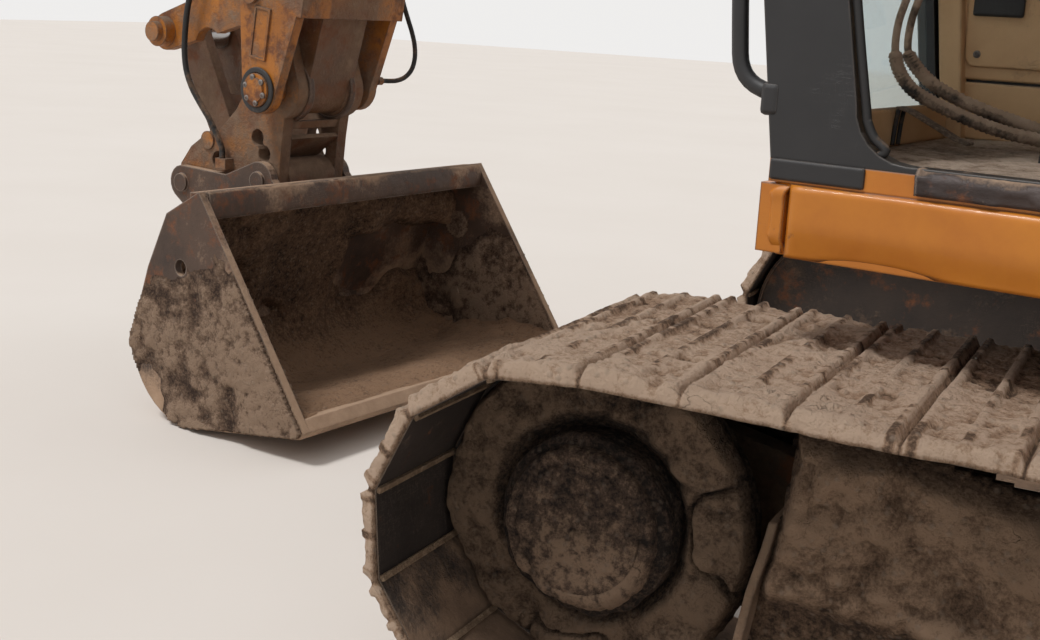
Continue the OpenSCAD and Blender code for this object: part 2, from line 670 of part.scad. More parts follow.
module shell_walls() difference() {
    slab(cab_profile(0), cab_in, cab_out);
    slab(concat([[cab_back + cab_wall, floor_top - 1], [cab_front - cab_wall, floor_top - 1]],
        [for (i = [2:4]) cab_profile(cab_wall)[i] + (i == 4 ? [0, 1] : [0, 0])],
        [[cab_back + cab_wall, cab_roof_z + 1]]), cab_in + cab_wall, cab_out - cab_wall);
    front_panes(-1, cab_wall + 20);
    side_window(cab_in - 1, cab_in + cab_wall + 1);
    rear_side_window(cab_out - cab_wall - 1, cab_out + 1);
    rear_window(cab_back - 1, cab_back + cab_wall + 1);
    slab(door_outline(0), cab_out - cab_wall - 1, cab_out + 1);
}
module cab_roof() on_upper() color(ochre) {
    block([cab_back + 30, cab_front - 200], [cab_in, cab_out], [cab_roof_z, cab_roof_z + roof_t]);
}
pane_in = 20;
module cab_windows() on_upper() color(pane) {
    front_panes(pane_in, pane_in + glass_t);
    side_window(cab_in + pane_in, cab_in + pane_in + glass_t);
    rear_side_window(cab_out - pane_in - glass_t, cab_out - pane_in);
    rear_window(cab_back + pane_in, cab_back + pane_in + glass_t);
}
// Door: panel with a window, standing open on hinges at its back edge
module door_place() on_upper() translate([door_hinge[0], door_hinge[1], 0]) rotate([0, 0, door_open])
    translate([-door_hinge[0], -door_hinge[1], 0]) children();
module door_window(y0, y1) slab([[door_back + 90, 1760], [cab_front + cab_nose - pillar_w - 90, 1760],
    [cab_front + cab_nose - pillar_w - 115, shoulder_z], [cab_front - pillar_w - 250, head_z - 90],
    [door_back + 90, head_z - 90]], y0, y1);
module cab_door() door_place() color(ochre) {
    block([cab_front - pillar_w - 170, cab_front - pillar_w - 50], [cab_out - 1, cab_out + 18], [1500, 1540]);
    difference() {
        slab(door_outline(door_gap), cab_out - cab_wall + 2, cab_out);
        door_window(cab_out - cab_wall - 1, cab_out + 1);
    }
    for (z = door_hinge_z) {
        block([door_hinge[0], door_back + 80], [cab_out + 6, cab_out + 16], [z, z + knuckle_h]);
        block([door_back + 20, door_back + 80], [cab_out - 1, cab_out + 7], [z, z + knuckle_h]);
        translate([door_hinge[0], door_hinge[1], z]) cylinder(r = hinge_r, h = knuckle_h);
    }
}
module door_glass() door_place() color(pane) door_window(cab_out - pane_in - glass_t, cab_out - pane_in);

// Seat, consoles and controls
seat_y = (cab_in + cab_out) / 2;
module seat_base() on_upper() color(black) {
    block([80, 560], [seat_y - 230, seat_y + 230], [floor_top, seat_z - 120]);
    for (y = [cab_in + cab_wall + 60, cab_out - cab_wall - 60 - 110])
        block([150, 720], [y, y + 110], [seat_z - 60, seat_z + 90]);
    for (y = [cab_in + cab_wall + 60, cab_out - cab_wall - 60 - 110])
        block([250, 400], [y + 20, y + 90], [floor_top, seat_z - 60]);
}
module seat_cushion() on_upper() color(black)
    block([90, 590], [seat_y - 225, seat_y + 225], [seat_z - 119.7, seat_z]);
module seat_back() on_upper() color(black) on_seat_back();
module on_seat_back() translate([90.7, seat_y, seat_z - 60]) rotate([0, -10, 0])
    translate([-110, -225, 0]) cube([109, 450, 700]);
module cab_controls() on_upper() color(black) {
    for (y = [cab_in + cab_wall + 115, cab_out - cab_wall - 115]) {
        translate([620, y, seat_z + 90]) cylinder(r = 12, h = 120);
        translate([620, y, seat_z + 200]) cylinder(r = 24, h = 110);
    }
    for (y = [seat_y - 75, seat_y + 75]) {
        translate([1010, y, floor_top + 3]) rotate([0, 12, 0]) cylinder(r = 12, h = 560);
        block([960, 1200], [y - 45, y + 45], [floor_top, floor_top + 45]);
    }
    block([1180, 1230], [cab_in + cab_wall + 20, cab_in + cab_wall + 190], [floor_top, 2050]);
    block([1150, 1180.5], [cab_in + cab_wall + 20, cab_in + cab_wall + 190], [1880, 2050]);
}
lamp_w = 110;
lamp_h = 90;
module work_lamps() on_upper() color(chrome) {
    for (y = [cab_in + 120, cab_out - 120 - lamp_w])
        block([cab_front - 270, cab_front - 205], [y, y + lamp_w], [cab_roof_z + roof_t, cab_roof_z + roof_t + lamp_h]);
    tail_lamp_place() block([-lamp_deep, -12], [3 - tail_lamp_w / 2, tail_lamp_w / 2 - 3], [3, tail_lamp_h - 3]);
}

// A pipe on each side of a boom section from a to b, held by blocks at shares of its length
pipe_r = 16;
module pipes(a, b, blocks, y) both_sides() translate([0, y, 0]) {
    at(a, angle_to(a, b)) rotate([0, 90, 0]) cylinder(r = pipe_r, h = norm(b - a));
    for (t = blocks) let (c = between(a, b, t))
        block([c[0] - 30, c[0] + 30], [-pipe_r - 12, pipe_r + 12], [c[1] - 90, c[1] + 4]);
}
// Boom: lower section from the foot pin to the elbow
fork_clear = 340;
elbow_half_w = boom_half_w - 50;
module plate_ears(p, r, root, y0, y1) both_sides() {
    slab(concat(root, arc(p, r, 200, -20, 10)), y0, y1);
}
module boom_base() on_arm() color(ochre) at(foot, base_angle) {
    difference() {
        union() {
            slab(concat([[-20, 140], [-20, -140], [300, -190], [adjust_foot[0] + 900, -230], [base_len - 330, -220]],
                arc([base_len, 0], 190, -80, 80, 12), [[base_len - 330, 210], [900, 190]]), -boom_half_w, boom_half_w);
            bar([0, 0], 140, -250, 250);
            bar(boom_cyl_pin, 85, -boom_half_w - 33, boom_half_w + 33);
            both_sides() slab([[adjust_foot[0] - 220, -150], [adjust_foot[0] + 70, -150],
                adjust_foot + [50, -40], adjust_foot + [-55, -45]], fork_in, fork_out);
            both_sides() bar(adjust_foot, eye_r, fork_in, fork_out);
        }
        bar([base_len, 0], fork_clear, -elbow_half_w - side_gap, elbow_half_w + side_gap);
    }
    pipes([240, 206], [2140, 252], [0.1, 0.5, 0.9], 95);
    bar([0, 0], pin_r, -tower_in - tower_t - 20, tower_in + tower_t + 20);
    bar(adjust_foot, eye_pin_r, -fork_in - 1, fork_in + 1);
    bar([base_len, 0], pin_r, -boom_half_w - 25, boom_half_w + 25);
}
// Upper section from the elbow to the stick's pin
tip_clear = 360;
module boom_upper() on_arm() color(ochre) at(elbow, upper_angle) difference() {
    union() {
        slab(concat(arc([0, 0], 170, 100, 260, 12), [[520, -210], [520, 230]]), -elbow_half_w, elbow_half_w);
        slab(concat([[470, 225], [470, -205], [1000, -250], [2000, -230]],
            arc([upper_len, 0], 150, -85, 85, 12), [[1900, 230], [1000, 270]]), -boom_half_w, boom_half_w);
        both_sides() slab([adjust_pin + [-60, -20], adjust_pin + [60, -20],
            adjust_pin + [300, 120], adjust_pin + [-300, 120]], fork_in + 4, fork_out + 4);
        both_sides() bar(adjust_pin, eye_r, fork_in + 4, fork_out + 4);
        both_sides() slab([stick_cyl_foot + [-60, 30], stick_cyl_foot + [-260, -190],
            stick_cyl_foot + [210, -190], stick_cyl_foot + [72, -95], stick_cyl_foot + [55, 30]], fork_in, fork_out);
        both_sides() bar(stick_cyl_foot, eye_r, fork_in, fork_out);
        bar(stick_cyl_foot, eye_pin_r, -fork_in - 1, fork_in + 1);
        bar([upper_len, 0], pin_r, -boom_half_w - 25, boom_half_w + 25);
        pipes([600, 304], [2480, 262], [0.08, 0.5, 0.9], 135);
    }
    bar([0, 0], pin_r + pin_gap, -elbow_half_w - 1, elbow_half_w + 1);
    difference() {
        bar([upper_len, 0], tip_clear, -stick_half_w - side_gap, stick_half_w + side_gap);
        bar([upper_len, 0], pin_r, -stick_half_w - side_gap - 1, stick_half_w + side_gap + 1);
    }
}

// Hoses: a tube swept along its route, a ring of points at each place; routes are [forward, left, up]
near_hose_r = 11.5;
far_hose_r = 9.5;
near_route = [
    [3936, 203, 2101], [3944, 203, 2051], [3956, 204, 1998], [3978, 208, 1945], [4012, 216, 1893],
    [4055, 227, 1842], [4104, 240, 1793], [4155, 253, 1744], [4206, 265, 1693], [4253, 275, 1639],
    [4295, 282, 1580], [4328, 286, 1518], [4352, 287, 1452], [4367, 287, 1385], [4375, 287, 1316],
    [4376, 287, 1250], [4367, 284, 1187], [4345, 277, 1128], [4313, 266, 1073], [4280, 253, 1020],
    [4255, 242, 970], [4237, 233, 927], [4229, 228, 896], [4229, 228, 866.3]];
far_route = [
    [3807, -153, 2343], [3814, -153, 2293], [3821, -159, 2241], [3827, -173, 2189], [3832, -194, 2138],
    [3836, -219, 2088], [3838, -244, 2038], [3839, -265, 1985], [3839, -279, 1930], [3838, -287, 1874],
    [3836, -291, 1817], [3833, -294, 1760], [3830, -298, 1703], [3826, -304, 1646], [3822, -313, 1589],
    [3818, -327, 1533], [3814, -346, 1480], [3811, -369, 1429], [3808, -392, 1379], [3807, -410, 1328],
    [3808, -415, 1277], [3813, -404, 1232], [3823, -377, 1201], [3836, -345, 1187], [3850, -318, 1184],
    [3861, -296, 1184], [3861, -275, 1184]];
tube_sides = 8;
function heading(route, i) = let (d = route[min(i + 1, len(route) - 1)] - route[max(i - 1, 0)]) d / norm(d);
function ring_points(c, t, r) = let (u = cross(t, [1, 0, 0]), a = u / norm(u), b = cross(t, a))
    [for (k = [0:tube_sides - 1]) c + r * (cos(k * 360 / tube_sides) * a + sin(k * 360 / tube_sides) * b)];
module hose(route, r) {
    let (n = tube_sides, last = len(route) - 1)
    polyhedron(
        points = [for (i = [0:last]) each ring_points(route[i], heading(route, i), r)],
        faces = [[for (k = [0:n - 1]) k], [for (k = [n - 1:-1:0]) last * n + k],
            for (i = [0:last - 1], k = [0:n - 1]) let (j = (k + 1) % n)
                each [[i * n + k, (i + 1) * n + k, i * n + j], [i * n + j, (i + 1) * n + k, (i + 1) * n + j]]]);
}
module near_hose() on_upper() color(black) hose(near_route, near_hose_r);
module far_hose() on_upper() color(black) hose(far_route, far_hose_r);

// Places along the stick: ends of the two hose blocks, and the bare raised plate
near_block = 1960;
far_block = 1700;
plate_x = [2600, 2790];
plate_z = [-20, 62];
far_end = far_route[len(far_route) - 1];
far_fitting = turned([far_end[0], far_end[2]] - top_pin, -stick_angle);
// Stick: box section, cylinder brackets, middle lug, outer nose plates and the cross plate behind them
nose_r = 95;
cheek_top = stick_len - 900;
module stick() on_arm() color(ochre) at(top_pin, stick_angle) {
    difference() {
        union() {
            slab(concat([[lever_pin[0] - 260, -175], [lever_pin[0] - 100, 170], [600, 260], [0, 265],
                [-160, 290], [-180, 60]], arc([0, 0], 150, 160, 270, 8), [[400, -190]]), -stick_half_w, stick_half_w);
            slab(concat([[lever_pin[0] - 300, -170]], arc([stick_len, 0], nose_r, -80, 80, 12),
                [[lever_pin[0] + 60, 150], [lever_pin[0] - 300, 168]]), -lug_half_w, lug_half_w);
            both_sides() slab(concat([[-60, 20], [-330, 85]], arc(stick_cyl_pin, 92, 250, 80, 10),
                [[-140, 291], [-60, 270]]), fork_in + 6, fork_out + 10);
            both_sides() slab([bucket_cyl_foot + [-60, 30], bucket_cyl_foot + [-240, -190],
                bucket_cyl_foot + [210, -190], bucket_cyl_foot + [72, -95], bucket_cyl_foot + [55, 30]],
                fork_in, fork_out);
            both_sides() bar(bucket_cyl_foot, eye_r, fork_in, fork_out);
            both_sides() slab(concat([[cheek_top, -150], [stick_len - 420, -170]],
                arc([stick_len, 0], nose_r - 5, -95, 60, 10),
                [[lever_pin[0] + 40, 150], [lever_pin[0] - 80, 150], [cheek_top, -40]]), cheek_in, cheek_out);
            slab([[cheek_top, -150], [cheek_top, -100], [stick_len - 300, -120], [stick_len - 300, -170],
                [stick_len - 420, -170]], -cheek_out, cheek_out);
            both_sides() bar([stick_len, 0], nose_r + 13, lug_half_w - 22, lug_half_w);
            block([near_block - 60, near_block], [stick_half_w - 1, stick_half_w + 52], [100, 160]);
            block([far_block - 60, far_block], [-stick_half_w - 52, 1 - stick_half_w], [10, 70]);
        }
        bar([0, 0], pin_r + pin_gap, -stick_half_w - 1, stick_half_w + 1);
        difference() {
            bar([stick_len, 0], 300, ear_in - side_gap, cheek_in);
            slab([[0, -400], [stick_len - 270, -400], [stick_len - 270, -100], [0, -100]], 0, cheek_out + 1);
        }
    }
    bar([stick_len, 0], pin_r, -pin_end, pin_end);
    both_sides() bar([stick_len, 0], 62, cheek_out - 1, pin_end - 8);
    bar(lever_pin, pin_r - 5, -pin_end + 8, pin_end - 8);
    difference() {
        block(plate_x, [cheek_out - 1, cheek_out + 7], plate_z);
        block([plate_x[0] + 9, plate_x[1] - 9], [cheek_out + 3, cheek_out + 8], [plate_z[0] + 9, plate_z[1] - 9]);
    }
    bar(far_fitting, 16, -cheek_out - 25, 1 - cheek_out);
    bar(bucket_cyl_foot, eye_pin_r, -fork_in - 1, fork_in + 1);
}

// Tipping levers with the joint pin's two halves, and the bucket link
lever_c = on_stick(lever_pin);
joint_pin_r = 38;
module bone(a, b, ra, rb, y0, y1) {
    let (t = angle_to(a, b))
    slab(concat(arc(a, ra, t + 90, t + 270, 12), arc(b, rb, t - 90, t + 90, 12)), y0, y1);
}
module tipping_levers() on_arm() color(ochre) both_sides() {
    difference() {
        bone(lever_c, joint, 88, 72, lever_in, lever_out);
        bar(lever_c, pin_r - 5 + pin_gap, lever_in - 1, lever_out + 1);
        bar(lever_c + turned([340, -116], angle_to(lever_c, joint)), 72, lever_in - 1, lever_out + 1);
    }
    bar(joint, joint_pin_r, fork_in + 4, pin_end - 5);
    bar(joint, 58, lever_out - 1, pin_end - 30);
}
link_in = fork_in + 8;
link_out = link_in + 44;
module bucket_link() on_arm() color(ochre) {
    both_sides() difference() {
        bone(joint, link_low, 75, 62, link_in, link_out);
        bar(joint, joint_pin_r + pin_gap, link_in - 1, link_out + 1);
    }
    difference() {
        bone(joint, link_low, 60, 60, -link_in - 1, link_in + 1);
        bar(joint, 300, -link_in - 2, link_in + 2);
    }
}

// Quick coupler: two side plates on the nose pin, cross body, hook and guard; places from the nose pin
plate_out = ear_out;
function from_nose(list) = [for (p = list) nose + p];
bucket_pin_a = [60, -350];
bucket_pin_b = [495, -405];
hook_r = 36;
jaw_r = 72;
module coupler() on_arm() color(ochre) difference() {
    union() {
        both_sides() slab(concat(arc(nose, 112, 250, 150, 8), from_nose([[-41, 232], [120, 60], [226, -96],
            [330, -190], [375, -190], [485, -262], [545, -335]]), arc(nose + bucket_pin_b, jaw_r, -10, -130, 6),
            from_nose([[392, -426], [247, -397]]), arc(nose + bucket_pin_a, jaw_r, -25, -190, 8),
            from_nose([[-26, -186]])), ear_in, plate_out);
        slab(from_nose([[-20, -150], [70, -150], [70, -128], [-30, -118]]), -ear_in - 1, ear_in + 1);
        slab(from_nose([[-30, -186], [105, -292], [150, -335], [215, -375], [215, -350], [160, -315],
            [118, -278], [-15, -172]]), -ear_in - 1, ear_in + 1);
        bar(nose + bucket_pin_a, jaw_r + 8, -ear_in - 1, ear_in + 1);
        both_sides() bar(nose + [385, -228], 36, plate_out - 1, plate_out + 6);
        block([nose_x + 240, nose_x + 298], [plate_out - 1, plate_out + 42], [nose_z - 328, nose_z - 286]);
    }
    bar(nose, pin_r + pin_gap, -plate_out - 1, plate_out + 1);
    bar(nose + bucket_pin_a, hook_r + 0.3, -plate_out - 1, plate_out + 1);
    bar(nose + bucket_pin_b, hook_r + 0.3, -plate_out - 1, plate_out + 1);
    both_sides() for (p = [[106, -190], [68, -250]]) bar(nose + p, 32, ear_in - 1, plate_out + 1);
    both_sides() slab(from_nose([[78, -204], [134, -176], [96, -236], [40, -264]]), ear_in - 1, plate_out + 1);
    bar(link_low, pin_r - 10 + pin_gap, -plate_out - 1, plate_out + 1);
}

// Bucket: shell between two side plates, lip tube, ears with the two pins; places from the nose pin
edge_tip = [-758, -1041];
lip_pt = [-251, -309];
heel_c = [-185, -nose_z + heel_r];
function bucket_outer(t) = concat(
    arc(heel_c, heel_r - t, -90, 0, 10),
    [[12 - t * 0.9, -602 - t * 0.2], [-88 - t * 0.8, -402 - t * 0.6], lip_pt + [-t * 0.3, -t]]);
ear_plate_in = plate_out + side_gap;
ear_plate_out = ear_plate_in + 34;
side_in_y = bucket_w / 2 - side_t;
module bucket_sides() on_arm() color(steel) both_sides() difference() {
    slab(concat(from_nose([edge_tip, edge_tip + [20, -25]]), from_nose(bucket_outer(0))), side_in_y, bucket_w / 2);
    bar(nose + [-158, -582], side_hole_r, side_in_y - 1, bucket_w / 2 + 1);
}
module bucket_shell() on_arm() color(steel) {
    difference() {
        slab(concat(from_nose([edge_tip, edge_tip + [20, -25]]), from_nose(bucket_outer(0))), -side_in_y, side_in_y);
        slab(concat(from_nose([edge_tip + [-60, 60], edge_tip + [200, -10], [-185, -nose_z + shell_t]]),
            from_nose(bucket_outer(shell_t)), from_nose([lip_pt + [-400, 200]])), -side_in_y - 1, side_in_y + 1);
    }
    slab(from_nose([lip_pt + [-20, -lip_h], lip_pt + [75, -lip_h], lip_pt + [75, -12], lip_pt + [-10, -2]]),
        -side_in_y, side_in_y);
}
module bucket_ears() on_arm() color(steel) {
    both_sides() difference() {
        slab(concat(from_nose([[-80, -404]]), arc(nose + bucket_pin_a, 74, 170, 75, 6),
            from_nose([[240, -345]]), arc(nose + bucket_pin_b, 68, 100, -50, 8),
            from_nose([[330, -600], [100, -832], [60, -850], [-4, -620]])), ear_plate_in, ear_plate_out);
        slab(concat(from_nose([edge_tip, edge_tip + [20, -25]]), from_nose(bucket_outer(0))),
            ear_plate_in - 1, ear_plate_out + 1);
        slab(from_nose([lip_pt + [-20, -lip_h], lip_pt + [75, -lip_h], lip_pt + [75, -12], lip_pt + [-10, -2]]),
            ear_plate_in - 1, ear_plate_out + 1);
    }
    bar(nose + bucket_pin_a, hook_r, -ear_plate_out - 12, ear_plate_out + 12);
    both_sides() bar(nose + bucket_pin_b, hook_r, ear_in + 2, ear_plate_out + 12);
}

// Cylinders: a tube with a bored base eye, and a rod whose eye stays clear of its bracket
gland = 70;
cap_len_cyl = 90;
module barrel(closed, r, rod_r) difference() {
    union() {
        bar([0, 0], eye_r, -eye_half_w, eye_half_w);
        translate([20, 0, 0]) rotate([0, 90, 0]) cylinder(r = r, h = closed - eye_r - 40 - 20);
        translate([closed - eye_r - 40 - gland, 0, 0]) rotate([0, 90, 0]) cylinder(r = r + 10, h = gland);
    }
    bar([0, 0], eye_pin_r + pin_gap, -eye_half_w - 1, eye_half_w + 1);
    if (r > eye_half_w) both_sides() translate([-r - 1, eye_half_w, -r - 1]) cube([r + 1 + eye_r + 6, r, 2 * r + 2]);
    translate([cap_len_cyl, 0, 0]) rotate([0, 90, 0]) cylinder(r = r - tube_wall, h = closed - eye_r - 40 - gland - cap_len_cyl);
    translate([cap_len_cyl, 0, 0]) rotate([0, 90, 0]) cylinder(r = rod_r + 0.5, h = closed);
}
module rod(closed, now, r, rod_r) {
    let (start = now - closed + cap_len_cyl + 30) {
        translate([start, 0, 0]) rotate([0, 90, 0]) cylinder(r = rod_r, h = now - 20 - start);
        translate([start, 0, 0]) rotate([0, 90, 0]) cylinder(r = r - tube_wall - 1, h = 60);
    }
    translate([now, 0, 0]) bar([0, 0], eye_r, -eye_half_w, eye_half_w);
}
boom_top_pin = on_base(boom_cyl_pin);
boom_cyl_now = norm(boom_top_pin - boom_cyl_foot);
boom_cyl_angle = angle_to(boom_cyl_foot, boom_top_pin);
adjust_a = on_base(adjust_foot);
adjust_b = on_upper_boom(adjust_pin);
stick_a = on_upper_boom(stick_cyl_foot);
stick_b = on_stick(stick_cyl_pin);
bucket_a = on_stick(bucket_cyl_foot);

module boom_barrels() on_arm() color(ochre) both_sides() translate([0, boom_eye_y, 0])
    at(boom_cyl_foot, boom_cyl_angle) barrel(boom_closed, boom_cyl_r, boom_rod_r);
module boom_rods() on_arm() color(chrome) both_sides() translate([0, boom_eye_y, 0])
    at(boom_cyl_foot, boom_cyl_angle) rod(boom_closed, boom_cyl_now, boom_cyl_r, boom_rod_r);
module adjust_barrel() on_arm() color(ochre) at(adjust_a, angle_to(adjust_a, adjust_b))
    barrel(adjust_closed, arm_cyl_r, arm_rod_r);
module adjust_rod() on_arm() color(chrome) at(adjust_a, angle_to(adjust_a, adjust_b))
    rod(adjust_closed, norm(adjust_b - adjust_a), arm_cyl_r, arm_rod_r);
module stick_barrel() on_arm() color(ochre) at(stick_a, angle_to(stick_a, stick_b))
    barrel(stick_closed, arm_cyl_r, arm_rod_r);
module stick_rod() on_arm() color(chrome) at(stick_a, angle_to(stick_a, stick_b))
    rod(stick_closed, norm(stick_b - stick_a), arm_cyl_r, arm_rod_r);
module bucket_barrel() on_arm() color(ochre) at(bucket_a, angle_to(bucket_a, joint))
    barrel(bucket_closed, arm_cyl_r, arm_rod_r);
module bucket_rod() on_arm() color(chrome) at(bucket_a, angle_to(bucket_a, joint))
    rod(bucket_closed, norm(joint - bucket_a), arm_cyl_r, arm_rod_r);

car_body();
track_frames();
track_chains();
sprockets();
final_drives();
rollers();
slew_ring();
platform();
boom_towers();
swing_gear();
deck_skirts();
counterweight();
engine();
engine_house();
tanks();
handrails();
exhaust();
cab_floor();
cab_shell();
cab_roof();
cab_windows();
seat_base();
seat_cushion();
seat_back();
cab_controls();
work_lamps();
cab_door();
door_glass();
hood();
side_door_left();
side_door_right();
boom_base();
boom_upper();
stick();
near_hose();
far_hose();
tipping_levers();
bucket_link();
coupler();
bucket_shell();
bucket_sides();
bucket_ears();
boom_barrels();
boom_rods();
adjust_barrel();
adjust_rod();
stick_barrel();
stick_rod();
bucket_barrel();
bucket_rod();
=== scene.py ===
import bpy, math, time
import numpy as np
from mathutils import Matrix, Vector


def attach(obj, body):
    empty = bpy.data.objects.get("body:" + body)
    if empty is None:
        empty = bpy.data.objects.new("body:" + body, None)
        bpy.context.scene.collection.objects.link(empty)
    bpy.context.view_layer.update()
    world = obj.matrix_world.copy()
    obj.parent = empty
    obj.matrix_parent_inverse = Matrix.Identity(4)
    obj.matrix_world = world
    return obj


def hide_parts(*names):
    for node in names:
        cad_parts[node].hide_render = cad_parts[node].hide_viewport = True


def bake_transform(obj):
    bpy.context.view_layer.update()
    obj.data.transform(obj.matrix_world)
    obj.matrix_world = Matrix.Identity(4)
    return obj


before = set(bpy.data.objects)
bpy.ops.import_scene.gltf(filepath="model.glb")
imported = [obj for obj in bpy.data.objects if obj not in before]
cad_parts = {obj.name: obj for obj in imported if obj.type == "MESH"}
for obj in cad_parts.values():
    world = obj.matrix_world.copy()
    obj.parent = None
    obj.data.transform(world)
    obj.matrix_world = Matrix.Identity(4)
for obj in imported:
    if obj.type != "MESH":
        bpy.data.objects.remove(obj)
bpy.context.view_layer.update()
started = time.time()
scene = bpy.context.scene
scene.view_settings.view_transform = "Standard"


def say(words):
    print(f"[{time.time() - started:5.1f} s] {words}")


# Places: the undercarriage's and the turned upper structure's millimetres, to row metres
place = dict(originX=920, originY=42, slew=-8.35, armY=25)
slewCos, slewSin = math.cos(math.radians(place["slew"])), math.sin(math.radians(place["slew"]))


def onTracks(p):
    return (np.asarray(p, float) - [place["originX"], place["originY"], 0]) / 1000


def turnUpper(v):
    v = np.asarray(v, float)
    x, y = v[..., 0], v[..., 1]
    return np.stack([x * slewCos - y * slewSin, x * slewSin + y * slewCos, v[..., 2]], -1)


def onUpper(p):
    return onTracks(turnUpper(p))


def onArm(p):
    return onUpper(np.asarray(p, float) + [0, place["armY"], 0])


# Camera: measured from the photograph's own vanishing lines
view = dict(x=-0.113, y=3.686, z=1.508, yaw=-63.28, pitch=13.14, roll=3.07, lens=46.245, shiftY=-0.0025)
cosYaw, sinYaw = math.cos(math.radians(view["yaw"])), math.sin(math.radians(view["yaw"]))
cosPitch, sinPitch = math.cos(math.radians(view["pitch"])), math.sin(math.radians(view["pitch"]))
ahead = Vector((cosPitch * cosYaw, cosPitch * sinYaw, -sinPitch))
level = Vector((sinYaw, -cosYaw, 0))
rise = level.cross(ahead)
cosRoll, sinRoll = math.cos(math.radians(view["roll"])), math.sin(math.radians(view["roll"]))
rightward = level * cosRoll + rise * sinRoll
upward = rise * cosRoll - level * sinRoll
camera = bpy.data.objects.new("camera", bpy.data.cameras.new("camera"))
scene.collection.objects.link(camera)
camera.data.sensor_width = 36
camera.data.lens = view["lens"]
camera.data.shift_y = view["shiftY"]
camera.data.clip_end = 200
turn = Matrix((rightward, upward, -ahead)).transposed().to_4x4()
camera.matrix_world = Matrix.Translation((view["x"], view["y"], view["z"])) @ turn
scene.camera = camera


# Colours are written as they look on a screen, 0-255
def paint(r, g, b, a=1.0):
    def one(c):
        c = c / 255
        return c / 12.92 if c <= 0.04045 else ((c + 0.055) / 1.055) ** 2.4
    return (one(r), one(g), one(b), a)


def add(tree, kind, links=None, **settings):
    # places a node; links gives each input a value or another node's socket
    n = tree.nodes.new(kind)
    for key, value in settings.items():
        setattr(n, key, value)
    for key, value in (links or {}).items():
        if isinstance(value, bpy.types.NodeSocket):
            tree.links.new(value, n.inputs[key])
        else:
            n.inputs[key].default_value = value
    return n


def mixed(tree, factor, a, b, blend="MIX"):
    n = add(tree, "ShaderNodeMix", {0: factor, 6: a, 7: b}, data_type="RGBA", blend_type=blend)
    return n.outputs[2]


def sums(tree, what, a, b=0.0, c=None, clamp=False):
    links = {0: a, 1: b}
    if c is not None:
        links[2] = c
    return add(tree, "ShaderNodeMath", links, operation=what, use_clamp=clamp).outputs[0]


def span(tree, value, low, high, toLow=0.0, toHigh=1.0):
    return add(tree, "ShaderNodeMapRange",
               {"Value": value, "From Min": low, "From Max": high, "To Min": toLow, "To Max": toHigh}).outputs[0]


def noise(tree, where, scale, detail=4.0, rough=0.55, stretch=None):
    if stretch:
        where = add(tree, "ShaderNodeMapping", {"Vector": where, "Scale": stretch}).outputs[0]
    return add(tree, "ShaderNodeTexNoise",
               {"Vector": where, "Scale": scale, "Detail": detail, "Roughness": rough}).outputs["Fac"]


def newGroup(name, inputs, outputs):
    tree = bpy.data.node_groups.new(name, "ShaderNodeTree")
    for label, kind, value in inputs:
        socket = tree.interface.new_socket(name=label, in_out="INPUT", socket_type=kind)
        if value is not None:
            socket.default_value = value
    for label, kind in outputs:
        tree.interface.new_socket(name=label, in_out="OUTPUT", socket_type=kind)
    return tree, tree.nodes.new("NodeGroupInput"), tree.nodes.new("NodeGroupOutput")


numberIn, colourIn = "NodeSocketFloat", "NodeSocketColor"


def edgeWearGroup():
    # worn edges: where the rounded normal leaves the face's own, broken up by noise
    tree, come, go = newGroup("edgeWear", [("Radius", numberIn, 0.006), ("Reach", numberIn, 1.0),
                                           ("Scale", numberIn, 30.0)],
                              [("Mask", numberIn), ("Normal", "NodeSocketVector")])
    rounded = add(tree, "ShaderNodeBevel", {"Radius": come.outputs["Radius"]}, samples=4)
    face = add(tree, "ShaderNodeNewGeometry")
    dot = add(tree, "ShaderNodeVectorMath", {0: rounded.outputs[0], 1: face.outputs["Normal"]}, operation="DOT_PRODUCT")
    turned = sums(tree, "SUBTRACT", 1.0, dot.outputs["Value"])
    where = add(tree, "ShaderNodeTexCoord").outputs["Object"]
    broken = noise(tree, where, come.outputs["Scale"], 5.0, 0.65)
    raised = sums(tree, "MULTIPLY", turned, 9.0)
    raised = sums(tree, "MULTIPLY", raised, come.outputs["Reach"])
    mask = span(tree, sums(tree, "ADD", raised, broken), 0.75, 1.05)
    tree.links.new(mask, go.inputs["Mask"])
    tree.links.new(rounded.outputs[0], go.inputs["Normal"])
    return tree


